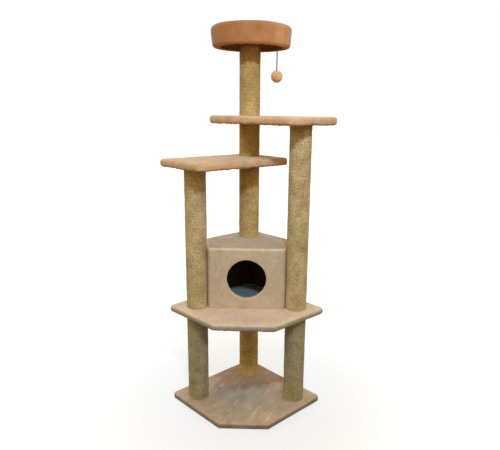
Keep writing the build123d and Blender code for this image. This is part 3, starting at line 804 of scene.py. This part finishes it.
def wrap_base():
    """Plush over the base board, with a flat hem tucked under it."""
    low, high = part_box("base_carpet")
    corners = sharp_corners("base_carpet")
    places, normals = rounded(corners, CORNER_R)
    profile = arc(BASE_EDGE_R, high.z - BASE_EDGE_R, BASE_EDGE_R, 90, 0, 5)
    profile += [(0, high.z - BASE_EDGE_R - k * 3.5 * MM) for k in (1, 2, 3)]
    profile += arc(BASE_FOOT_R, low.z + BASE_FOOT_R, BASE_FOOT_R, 0, -90, 3)
    skin = Skin()
    skin.edge(places, normals, profile, flip=True)
    at, faces = fill(places - normals * BASE_EDGE_R)
    skin.level(at, high.z, faces)
    at, faces = fill(places - normals * BASE_FOOT_R, along_edges(inset_corners(corners, HEM_W)))
    skin.level(at, low.z, faces, flip=True)
    mesh = skin.mesh("base_wrap")
    over = standing_on(high.z, 1)
    pile_relief(mesh, 3.0, lambda p: pressed(p, over)[0] * np.clip((p[:, 2] - low.z) / (6 * MM), 0, 1))
    at = coordinates(mesh)
    at[:, 2] += np.where(at[:, 2] > high.z - 2 * MM, pressed(at, over)[1], 0)
    at[:, 2] = np.maximum(at[:, 2], low.z)
    set_coordinates(mesh, at)
    turned = high.z - low.z + HEM_W
    flat = tuple(side + 2 * turned for side in span_of(corners))
    cut = area_of(corners) + length_of(corners) * turned
    facts = dict(flat=flat, held="stretched", rests_on=["base_board"], area=cut)
    cover("base_carpet", "base_carpet_wrap", mesh, PLUSH_BASE, "carpet_plush", HEM_T, **facts)


# ---- condo -----------------------------------------------------------
CONDO = sharp_corners("condo_carpet")


def wrap_condo():
    """Plush over the condo's walls and roof, turned in through its round entrance."""
    places, normals = rounded(CONDO, CORNER_R)
    start = int(np.argmax(places[:, 1]))
    places, normals = np.roll(places, -start, axis=0), np.roll(normals, -start, axis=0)
    closed = np.vstack([places, places[:1]])
    along = np.concatenate([[0], np.cumsum(np.linalg.norm(np.diff(closed, axis=0), axis=1))])
    total = along[-1]
    eaves = CONDO_TOP - CONDO_EDGE_R
    face_y = places[:, 1].min()
    front = np.flatnonzero(places[:, 1] < face_y + 0.01 * MM)
    middle_s = float(np.interp(0.0, places[front, 0], along[front]))
    lip_r = HOLE_R + HOLE_LIP
    count = round(2 * math.pi * lip_r / STEP)
    turns = 2 * math.pi * np.arange(count) / count
    hole = np.column_stack([middle_s + lip_r * np.cos(turns), HOLE_Z + lip_r * np.sin(turns)])

    rows = np.linspace(MID_TOP, eaves, round((eaves - MID_TOP) / STEP) + 1)
    border = [(s, MID_TOP) for s in along[:-1]]
    border += [(total, z) for z in rows[:-1]]
    border += [(s, eaves) for s in along[:0:-1]]
    border += [(0.0, z) for z in rows[:0:-1]]
    at, faces = fill(np.array(border), hole)
    x = np.interp(at[:, 0], along, closed[:, 0])
    y = np.interp(at[:, 0], along, closed[:, 1])
    skin = Skin()
    skin.patch(np.column_stack([x, y, at[:, 1]]), faces)

    skin.edge(places, normals, arc(CONDO_EDGE_R, eaves, CONDO_EDGE_R, 0, 90, 7))
    at, faces = fill(places - normals * CONDO_EDGE_R)
    skin.level(at, CONDO_TOP, faces)

    # the entrance: its radius and how far in, round the lip and then straight back
    bend = np.radians(np.linspace(0, 90, 6))
    lip = [(lip_r - HOLE_LIP * math.sin(a), HOLE_LIP * (1 - math.cos(a))) for a in bend]
    lip += [(HOLE_R, d) for d in np.linspace(HOLE_LIP, HOLE_DEPTH, 4)[1:]]
    rings = [polar(r, turns, face_y + d, 0, HOLE_Z)[:, [0, 2, 1]] for r, d in lip]
    skin.rings(rings)
    mesh = skin.mesh("condo_wrap")
    over = standing_on(CONDO_TOP, 1)

    def mask(p):
        free = np.clip((p[:, 2] - MID_TOP) / (5 * MM), 0, 1)
        return free * np.where(p[:, 2] > CONDO_TOP - 2 * MM, pressed(p, over)[0], 1)

    pile_relief(mesh, 11.0, mask)
    at = coordinates(mesh)
    at[:, 2] += np.where(at[:, 2] > CONDO_TOP - 2 * MM, pressed(at, over)[1], 0)
    set_coordinates(mesh, at)
    height = CONDO_TOP - MID_TOP
    cut = area_of(CONDO) + length_of(CONDO) * height - math.pi * HOLE_R**2
    flat = tuple(side + 2 * height for side in span_of(CONDO))
    facts = dict(flat=flat, held="stretched", rests_on=["condo_roof_panel"], area=cut)
    cover("condo_carpet", "condo_carpet_wrap", mesh, PLUSH_CONDO, "carpet_plush", CONDO_T, **facts)


def make_mat():
    """A felt mat on the condo's floor, its edge a little lifted."""
    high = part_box("condo_floor_mat")[1]
    corners = sharp_corners("condo_floor_mat", 40 * MM)
    edge = inset_corners(corners, 1 * MM)
    at, faces = fill(along_edges(edge))
    skin = Skin()
    skin.level(at, high.z - 1.2 * MM, faces)
    mesh = skin.mesh("mat")
    at = coordinates(mesh)
    depth = depth_inside(edge, at[:, :2])
    lift = np.clip(1 - depth / (25 * MM), 0, 1) ** 2
    curl = 0.8 * MM + 1.2 * MM * noise_at(at, 60 * MM, 22.0)
    at[:, 2] += 0.7 * MM * noise_at(at, 70 * MM, 21.0) + lift * curl
    at[:, 2] += 0.25 * MM * noise_at(at, 6 * MM, 23.0)
    set_coordinates(mesh, at)
    facts = dict(flat=span_of(edge), held="laid", rests_on=["mid_carpet_wrap"], area=area_of(edge))
    cover("condo_floor_mat", "condo_mat_felt", mesh, MAT_PAINTED_SHADE, "mat_felt", 2.4 * MM, **facts)


# ---- posts -----------------------------------------------------------
def wind_post(post, seed, material):
    """Rope wound round a post from end to end, cut flat at the boards."""
    node = f"{post}_sisal"
    low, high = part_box(node)
    centre = (low + high) / 2
    radius = (high.x - low.x) / 2
    tube_low, tube_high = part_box(f"{post}_tube")
    tube_r = (tube_high.x - tube_low.x) / 2
    turns = math.ceil((high.z - low.z) / ROPE_PITCH) + 3
    rows, n = turns * ROPE_ROWS, ROPE_COLUMNS
    j, i = np.meshgrid(np.arange(rows), np.arange(n), indexing="ij")
    angle = 2 * math.pi * i / n
    across = (j % ROPE_ROWS) / ROPE_ROWS
    turn = j // ROPE_ROWS + i / n
    rope = (turn * 2 * math.pi * radius).ravel()
    # round on top of the rope, a narrow groove between turns
    bulge = np.sqrt(np.maximum(0, 1 - (2 * np.abs(across - 0.5)) ** 2.6))
    line = np.column_stack([rope, np.full(rope.size, seed * 3.1), np.zeros(rope.size)])
    thick = noise_at(line, 60 * MM, seed).reshape(rows, n)
    lay = noise_at(line, 25 * MM, seed + 1).reshape(rows, n)
    place = polar(radius, angle, j * ROPE_PITCH / ROPE_ROWS, centre.x)
    sway = noise_at(place, 45 * MM, seed + 2).reshape(rows, n)
    r = radius - ROPE_GROOVE * (1 - bulge) + 0.45 * MM * thick + 0.35 * MM * lay * bulge
    r += 0.9 * MM * sway
    z = low.z + ROPE_PITCH * (j / ROPE_ROWS + i / n - 1.5) + 0.25 * MM * lay
    at = polar(r, angle, z, centre.x, centre.y)
    faces, uv = [], []
    for row in range(rows - ROPE_ROWS - 1):
        v0 = row / ROPE_ROWS
        v1 = (row + 1) / ROPE_ROWS
        for column in range(n):
            a, d = row * n + column, (row + 1) * n + column
            if column + 1 < n:
                b, c = a + 1, d + 1
            else:
                b, c = (row + ROPE_ROWS) * n, (row + 1 + ROPE_ROWS) * n
            faces.append((a, b, c, d))
            u0 = (row // ROPE_ROWS + column / n) * 2 * math.pi * radius
            u1 = u0 + 2 * math.pi * radius / n
            uv += [u0, v0, u1, v0, u1, v1, u0, v1]
    mesh = bpy.data.meshes.new(f"{post}_rope")
    mesh.from_pydata(at.tolist(), [], faces)
    mesh.uv_layers.new(name="rope").data.foreach_set("uv", uv)
    work = bmesh.new()
    work.from_mesh(mesh)
    for cut, facing in ((low.z, -1), (high.z, 1)):
        whole = work.verts[:] + work.edges[:] + work.faces[:]
        plane = dict(plane_co=(0, 0, cut), plane_no=(0, 0, facing))
        bmesh.ops.bisect_plane(work, geom=whole, clear_outer=True, **plane)
    bmesh.ops.delete(work, geom=[v for v in work.verts if not v.link_faces], context="VERTS")
    inner_edges = []
    for cut in (low.z, high.z):
        rim = [e for e in work.edges if e.is_boundary and all(abs(v.co.z - cut) < 1e-6 for v in e.verts)]
        made = bmesh.ops.extrude_edge_only(work, edges=rim)["geom"]
        for v in (g for g in made if isinstance(g, bmesh.types.BMVert)):
            away = Vector((v.co.x - centre.x, v.co.y - centre.y, 0)).normalized() * tube_r
            v.co = Vector((centre.x, centre.y, cut)) + away
        inner_edges += [g for g in made if isinstance(g, bmesh.types.BMEdge) and g.is_boundary]
    bmesh.ops.bridge_loops(work, edges=inner_edges)
    bmesh.ops.recalc_face_normals(work, faces=work.faces)
    work.to_mesh(mesh)
    work.free()
    piece = make(f"{post}_rope", mesh, material)
    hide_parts(node)


# ---- perch -----------------------------------------------------------
def revolve(profile, count, wobble):
    """Rings round the perch's axis; wobble(r, z, angles) gives each ring's radii and heights."""
    turns = 2 * math.pi * np.arange(count) / count
    rings = []
    for r, z in profile:
        radii, heights = wobble(r, z, turns)
        rings.append(polar(radii, turns, heights, PERCH.x, PERCH.y))
    return rings


def evenly(profile, step):
    """A profile's points again, evenly spaced along it."""
    profile = np.array(profile)
    along = np.concatenate([[0], np.cumsum(np.linalg.norm(np.diff(profile, axis=0), axis=1))])
    at = np.linspace(0, along[-1], round(along[-1] / step) + 1)
    return np.column_stack([np.interp(at, along, profile[:, 0]), np.interp(at, along, profile[:, 1])])


def gathers(turns, seed, spacing=36 * MM):
    """Folds round the hem, unevenly spaced: 0 in a pucker, 1 on the puff between two."""
    count = round(2 * math.pi * PERCH_HEM_R / spacing)
    drift = noise_at(polar(1, turns), 0.35, seed) * 0.55
    phase = turns * count / 2 + drift * 2
    return np.abs(np.sin(phase)) ** 0.7


def make_perch_cover():
    """Cloth over the padded ring: turned down inside, gathered under the board."""
    shoulder = PERCH_Z + RIM_SHOULDER
    centre, half = (RIM_R + RIM_INNER_R) / 2, (RIM_R - RIM_INNER_R) / 2
    profile = [(RIM_INNER_R - 4 * MM, PERCH_Z + 22 * MM), (RIM_INNER_R - 2 * MM, PERCH_Z + 45 * MM)]
    for a in np.radians(np.linspace(180, 0, 17)):
        profile.append((centre + half * math.cos(a), shoulder + (PERCH_TOP - shoulder) * math.sin(a)))
    profile += [(RIM_R - 2 * MM, PERCH_Z + 50 * MM), (RIM_R - 4.5 * MM, PERCH_Z + 25 * MM)]
    profile += [(RIM_FOOT_R, PERCH_Z + 8 * MM)]
    for a in np.radians(np.linspace(0, -90, 6)):
        out, down = FOOT_ROUND * (1 - math.cos(a)), FOOT_ROUND * (1 + math.sin(a))
        profile.append((RIM_FOOT_R - out, PERCH_Z + down))
    profile += [(165 * MM, PERCH_Z - 0.2 * MM), (PERCH_HEM_R + 4 * MM, PERCH_Z)]
    profile += [(PERCH_HEM_R, PERCH_Z + 1.2 * MM), (PERCH_HEM_R - 0.7 * MM, PERCH_Z + 3.6 * MM)]
    profile = evenly(profile, 4 * MM)

    def wobble(r, z, turns):
        near_hem = np.clip((178 * MM - r) / (28 * MM), 0, 1) * (z < PERCH_Z + 9 * MM)
        fold = gathers(turns, 31.0)
        circle = polar(r, turns, z)
        soft = noise_at(circle, 70 * MM, 32.0)
        crease = noise_at(circle * (1, 1, 0.4), 24 * MM, 33.0)
        on_rim = z > PERCH_Z + 9 * MM
        radii = r + (1.4 * MM * soft + 0.8 * MM * crease) * on_rim + near_hem * 4 * MM * (fold - 0.6)
        heights = z - near_hem * 4.2 * MM * (fold - 0.55)
        heights = heights + np.where(z > shoulder, 0.9 * MM * soft, 0)
        return radii, heights

    skin = Skin()
    skin.rings(revolve(profile, 320, wobble))
    mesh = skin.mesh("perch_cover")
    long = float(np.linalg.norm(np.diff(profile, axis=0), axis=1).sum())
    flat, holders = (2 * math.pi * RIM_R, long), ["perch_rim_core", "perch_board"]
    facts = dict(flat=flat, held="gathered", rests_on=holders)
    cover("perch_cover", "perch_cover_cloth", mesh, PERCH_CLOTH, "perch_fabric", 1.6 * MM, **facts)


def make_underside():
    """A cloth disc under the perch, puckered towards the hem; its dark brown is painted shade."""
    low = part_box("perch_underside_cloth")[0]
    profile = evenly([(2 * MM, low.z + 0.4 * MM), (DISC_R, low.z + 0.9 * MM)], 4 * MM)

    def wobble(r, z, turns):
        free = np.clip((r - 53 * MM) / (30 * MM), 0, 1)
        rays = noise_at(polar(1, turns, r * 3), 0.11, 41.0)
        soft = noise_at(polar(r, turns), 40 * MM, 42.0)
        return np.full(len(turns), r), z - free * (0.5 * MM + 0.7 * MM * rays + 0.5 * MM * soft)

    skin = Skin()
    skin.rings(revolve(profile, 220, wobble), flip=True)
    mesh = skin.mesh("perch_underside")
    across = 2 * DISC_R
    area = math.pi * across**2 / 4
    facts = dict(flat=(across, across), held="stretched", rests_on=["perch_board"], area=area)
    cover("perch_underside_cloth", "perch_underside_disc", mesh, DISC_PAINTED_SHADE, "dark_cloth", 0.8 * MM, **facts)


def inflate(piece, pressure, cap, frames=20):
    """Let cloth pressure round a closed piece out, with no point moving further than the cap."""
    before = coordinates(piece.data)
    cloth = piece.modifiers.new("cloth", "CLOTH")
    cloth.settings.quality = 6
    cloth.settings.use_pressure = True
    cloth.settings.uniform_pressure_force = pressure
    cloth.settings.effector_weights.gravity = 0.0
    cloth.point_cache.frame_start = 1
    cloth.point_cache.frame_end = frames
    for f in range(1, frames + 1):
        scene.frame_set(f)
    settled = piece.evaluated_get(bpy.context.evaluated_depsgraph_get())
    after = coordinates(settled.data)
    piece.modifiers.remove(cloth)
    scene.frame_set(1)
    moved = after - before
    far = np.linalg.norm(moved, axis=1, keepdims=True)
    set_coordinates(piece.data, before + moved * np.minimum(1, cap / np.maximum(far, 1e-9)))


def make_pad():
    """The round cushion in the perch: a filled case with four sewn dimples."""
    low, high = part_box("perch_pad")
    r = (high.x - low.x) / 2
    thick = high.z - low.z
    flat_r = r - 16 * MM
    profile = [(0.5 * MM, low.z + 1 * MM), (flat_r, low.z + 1 * MM)]
    for a in np.radians(np.linspace(-90, 90, 13)):
        z = low.z + thick * 0.42 + thick * 0.38 * math.sin(a)
        profile.append((flat_r + 10 * MM * math.cos(a), z))
    profile += [(60 * MM, high.z - 7 * MM), (0.5 * MM, high.z - 7 * MM)]
    profile = evenly(profile, 6 * MM)
    skin = Skin()
    rings = revolve(profile, 150, lambda radius, z, turns: (radius, z))
    skin.rings(rings)
    for ring, flip in ((rings[0], True), (rings[-1], False)):
        skin.patch(ring, [list(range(len(ring)))], flip)
    mesh = skin.mesh("pad_start")
    pad = make("perch_pad_case", mesh, PAD_CLOTH)
    remesh = pad.modifiers.new("remesh", "REMESH")
    remesh.mode = "VOXEL"
    remesh.voxel_size = 6 * MM
    remeshed = bpy.data.meshes.new_from_object(pad.evaluated_get(bpy.context.evaluated_depsgraph_get()))
    pad.modifiers.clear()
    pad.data = remeshed
    inflate(pad, 4.0, 9 * MM)
    # the case is sewn through in four places
    at = coordinates(pad.data)
    at[:, 2] += 0.9 * MM * noise_at(at, 55 * MM, 51.0)
    up = at[:, 2] > low.z + thick / 2
    for x, y in ((1, 1), (-1, 1), (-1, -1), (1, -1)):
        gap = np.hypot(at[:, 0] - PERCH.x - x * DIMPLE_OUT, at[:, 1] - PERCH.y - y * DIMPLE_OUT)
        stitch, hollow = (np.exp(-((gap / wide) ** 2)) for wide in (11 * MM, 34 * MM))
        at[:, 2] -= up * (7 * MM * stitch + 3 * MM * hollow)
    at[:, 2] = np.clip(at[:, 2], low.z + 0.3 * MM, high.z + 4 * MM)
    away = at[:, :2] - (PERCH.x, PERCH.y)
    reach = np.linalg.norm(away, axis=1, keepdims=True)
    at[:, :2] = (PERCH.x, PERCH.y) + away * np.minimum(1, (r - 1 * MM) / np.maximum(reach, 1e-9))
    set_coordinates(pad.data, at)
    dress(pad.data, PAD_CLOTH)
    smooth = pad.modifiers.new("smooth", "SUBSURF")
    smooth.levels = smooth.render_levels = 1
    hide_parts("perch_pad")


# ---- toy -------------------------------------------------------------
def tube(path, radius, n=10):
    """Points and quads of a round tube along a path."""
    path = [Vector(p) for p in path]
    rings, faces = [], []
    side = None
    for k, here in enumerate(path):
        heading = (path[min(k + 1, len(path) - 1)] - path[max(k - 1, 0)]).normalized()
        if side is None:
            side = heading.orthogonal().normalized()
        side = (side - heading * side.dot(heading)).normalized()
        up = heading.cross(side)
        for i in range(n):
            a = 2 * math.pi * i / n
            rings.append(here + (side * math.cos(a) + up * math.sin(a)) * radius)
    for k in range(len(path) - 1):
        for i in range(n):
            j = (i + 1) % n
            faces.append((k * n + i, k * n + j, (k + 1) * n + j, (k + 1) * n + i))
    last = (len(path) - 1) * n
    faces.append(list(range(n))[::-1])
    faces.append([last + i for i in range(n)])
    return [tuple(p) for p in rings], faces


def make_toy():
    """A plush ball on an elastic cord, tied to a staple under the perch."""
    cord_low, cord_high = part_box("toy_cord")
    x, y = (cord_low.x + cord_high.x) / 2, (cord_low.y + cord_high.y) / 2
    top, end = cord_high.z, cord_low.z
    knot_low, knot_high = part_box("toy_knot")
    crown = knot_high.z - 3.9 * MM      # where the loop hangs on its staple
    outward = Vector((x - BACK.x, y - BACK.y, 0)).normalized()

    # the knot: a loop over the staple and two turns of cord round its neck
    loop = []
    for a in np.linspace(-60, 240, 25):
        c, s = math.cos(math.radians(a)), math.sin(math.radians(a))
        sideways = Vector((-outward.y, outward.x, 0))
        loop.append(Vector((x, y, crown)) + sideways * (2.4 * MM * c) + Vector((0, 0, 2.4 * MM * s)))
    neck = knot_low.z + 4.0 * MM
    loop += [Vector((x, y, neck + 2 * MM))]
    turns = []
    for a in np.linspace(0, 2 * 360, 41):
        wide = 2.3 * MM + 0.3 * MM * math.sin(math.radians(a / 2))
        c, s = math.cos(math.radians(a)), math.sin(math.radians(a))
        turns.append(Vector((x + wide * c, y + wide * s, neck - 1.6 * MM + 3.2 * MM * a / 720)))
    skin = Skin()
    skin.patch(*tube(loop, 1.3 * MM))
    skin.patch(*tube(turns, 1.2 * MM))
    skin.patch(*tube([(x, y, knot_low.z + 0.15 * MM), (x, y, neck + 2 * MM)], 1.6 * MM))
    knot = make("toy_knot_tied", skin.mesh("knot"), ELASTIC, "toy_loop")
    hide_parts("toy_knot")

    # the ball: an irregular plush sphere, a little taller than wide
    low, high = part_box("toy_ball")
    centre = (low + high) / 2
    r = (high.z - low.z) / 2
    work = bmesh.new()
    bmesh.ops.create_icosphere(work, subdivisions=5, radius=r)
    mesh = bpy.data.meshes.new("ball")
    work.to_mesh(mesh)
    work.free()
    at = coordinates(mesh)
    out = at / r
    push = 0.8 * MM * noise_at(at, 22 * MM, 61.0) + 0.9 * MM * noise_at(at, 6 * MM, 62.0) - 1.2 * MM
    push += 0.8 * MM * noise_at(at, 2.6 * MM, 63.0)
    dimple = np.exp(-((np.hypot(at[:, 0], at[:, 1]) / (5 * MM)) ** 2)) * (at[:, 2] > 0)
    push -= 2.2 * MM * dimple
    at = at + out * push[:, None]
    at[:, 2] *= 1.05
    set_coordinates(mesh, at + np.array(centre))
    ball = make("toy_ball_plush", mesh, TOY_PLUSH, "toy")
    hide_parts("toy_ball")

    # its pile: short curved fibres all over
    rng = np.random.default_rng(7)
    points, faces = [], []
    for _ in range(2600):
        d = Vector(rng.normal(size=3)).normalized()
        side = d.orthogonal().normalized() * (0.16 * MM)
        side.rotate(Matrix.Rotation(rng.uniform(0, 2 * math.pi), 3, d))
        bend = Vector(rng.normal(size=3)) * (0.9 * MM)
        root = centre + Vector((d.x, d.y, d.z * 1.05)) * (r - 3.0 * MM)
        tip = root + d * rng.uniform(2.4, 4.4) * MM + bend
        half = root.lerp(tip, 0.55) + d * (0.5 * MM)
        k = len(points)
        points += [root - side, root + side, half + side * 0.8, half - side * 0.8, tip]
        faces += [(k, k + 1, k + 2, k + 3), (k + 3, k + 2, k + 4)]
    mesh = bpy.data.meshes.new("fur")
    mesh.from_pydata([tuple(p) for p in points], [], faces)
    fur = make("toy_ball_pile", mesh, TOY_PLUSH, "toy")

    # the cord hangs straight under the ball's weight
    curve = bpy.data.curves.new("toy_cord_line", "CURVE")
    curve.dimensions = "3D"
    curve.bevel_depth = CORD_D / 2
    curve.bevel_resolution = 4
    curve.use_fill_caps = True
    spline = curve.splines.new("NURBS")
    spline.points.add(1)
    for point, z in zip(spline.points, (top, end)):
        point.co = (x, y, z, 1)
    spline.use_endpoint_u = True
    curve.materials.append(ELASTIC)
    cord = bpy.data.objects.new("toy_cord_elastic", curve)
    scene.collection.objects.link(cord)
    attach(cord, "toy")
    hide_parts("toy_cord")


# ---- build -----------------------------------------------------------
make_toy()
wrap_base()
wrap_board("mid", PLUSH_MID, 1.0, footprint=CONDO)
wrap_board("left_shelf", PLUSH_SHELF, 5.0)
wrap_board("right_shelf", PLUSH_SHELF, 9.0)
wrap_condo()
make_mat()
for k, post in enumerate(POSTS):
    rope = SISAL_BACK_PAINTED_WARM_SHADE if post.startswith("back") else SISAL_LOWER_PAINTED_SHADE if post.endswith("lower") else SISAL_FRONT
    wind_post(post, 70.0 + 4 * k, rope)
make_perch_cover()
make_underside()
make_pad()

CARRIED = {
    "_tube": CARDBOARD,
    "_board": CHIPBOARD,
    "_panel": PANEL,
    "post_end_plugs": SOFTWOOD,
    "condo_corner_battens": STAINED,
    "perch_rim_core": FOAM,
}
STEEL = ("threaded_inserts", "bolts", "washers", "studs", "screws", "staples", "toy_staple")
CARRIED |= dict.fromkeys(STEEL, ZINC)
for name, node in frame["nodes"].items():
    material = next((m for ending, m in CARRIED.items() if name.endswith(ending)), CHIPBOARD)
    node.data.materials.clear()
    node.data.materials.append(material)


# ---- stage and light -------------------------------------------------
def make_stage():
    """A white floor round the tree that fades into the white surroundings."""
    mesh = bpy.data.meshes.new("stage")
    half = 40.0
    corners = [(x * half, y * half, 0) for x, y in ((-1, -1), (1, -1), (1, 1), (-1, 1))]
    mesh.from_pydata(corners, [], [(0, 1, 2, 3)])
    floor = bpy.data.objects.new("floor", mesh)
    scene.collection.objects.link(floor)
    paper = Shading("stage_paper", Roughness=0.95, Specular_IOR_Level=0.05)
    grain = paper.noise(300, 2)
    split = paper.node("ShaderNodeSeparateXYZ", {0: paper.at})
    flat = paper.node("ShaderNodeCombineXYZ", {0: split.outputs[0], 1: split.outputs[1]}).outputs[0]
    away = paper.node("ShaderNodeVectorMath", {0: flat}, operation="LENGTH").outputs["Value"]
    far = paper.share(away, 0.42, 1.15, interpolation_type="SMOOTHSTEP")
    near_white = paper.ramp(grain, (0.3, (0.34, 0.37, 0.44, 1)), (0.7, (0.36, 0.39, 0.46, 1)))
    seen = paper.node("ShaderNodeLightPath").outputs["Is Camera Ray"]
    colour = paper.shade(near_white, far, 1.0, 0.3, 0.0, 1.0)
    colour = paper.shade(colour, seen, 0.4, 1.0, 0.0, 1.0)
    pale = paper.node("ShaderNodeMapRange", {"Value": far, "To Min": 0.6}).outputs[0]
    glow = paper.maths("MULTIPLY", pale, seen)
    paper.shader.inputs["Emission Color"].default_value = (1, 1, 1, 1)
    paper.tree.links.new(glow, paper.shader.inputs["Emission Strength"])
    mesh.materials.append(paper.finish(colour, grain, 0.1 * MM, 0.1))


def soft_light(name, place, target, size, watts, colour, spread=math.pi):
    data = bpy.data.lights.new(name, "AREA")
    data.shape = "DISK"
    data.size = size
    data.energy = watts
    data.color = colour
    data.spread = spread
    light = bpy.data.objects.new(name, data)
    light.location = place
    light.rotation_euler = (Vector(target) - Vector(place)).to_track_quat("-Z", "Y").to_euler()
    scene.collection.objects.link(light)


def make_world():
    """Warm light from all round; the camera sees plain white."""
    world = bpy.data.worlds.new("studio")
    scene.world = world
    world.use_nodes = True
    nodes, link = world.node_tree.nodes, world.node_tree.links.new
    sky = nodes["Background"]
    sky.inputs["Color"].default_value = (1.0, 0.87, 0.6, 1)
    sky.inputs["Strength"].default_value = 0.96
    white = nodes.new("ShaderNodeBackground")
    white.inputs["Color"].default_value = (1, 1, 1, 1)
    seen = nodes.new("ShaderNodeLightPath")
    either = nodes.new("ShaderNodeMixShader")
    link(seen.outputs["Is Camera Ray"], either.inputs[0])
    link(sky.outputs[0], either.inputs[1])
    link(white.outputs[0], either.inputs[2])
    link(either.outputs[0], nodes["World Output"].inputs[0])


make_stage()
make_world()
soft_light("key", (0.55, BACK.y - 3.35, 3.45), (0, 0, 1.3), 0.4, 5.4, (0.72, 1.0, 1.5), math.radians(40))
soft_light("side_right", (2.1, -0.9, 1.9), (0, 0, 1.1), 1.6, 4.5, (1.0, 0.5, 0.15))
soft_light("side_left", (-2.1, -0.7, 1.7), (0, 0, 1.0), 1.6, 2.5, (1.0, 0.6, 0.25))
soft_light("low", (0.3, -1.9, 0.25), (0, 0, 1.7), 0.8, 0.8, (1.0, 0.45, 0.12), math.radians(50))
soft_light("rear", (-1.7, 2.2, 2.3), (0, 0, 0.9), 1.6, 12, (0.85, 1.0, 1.2))
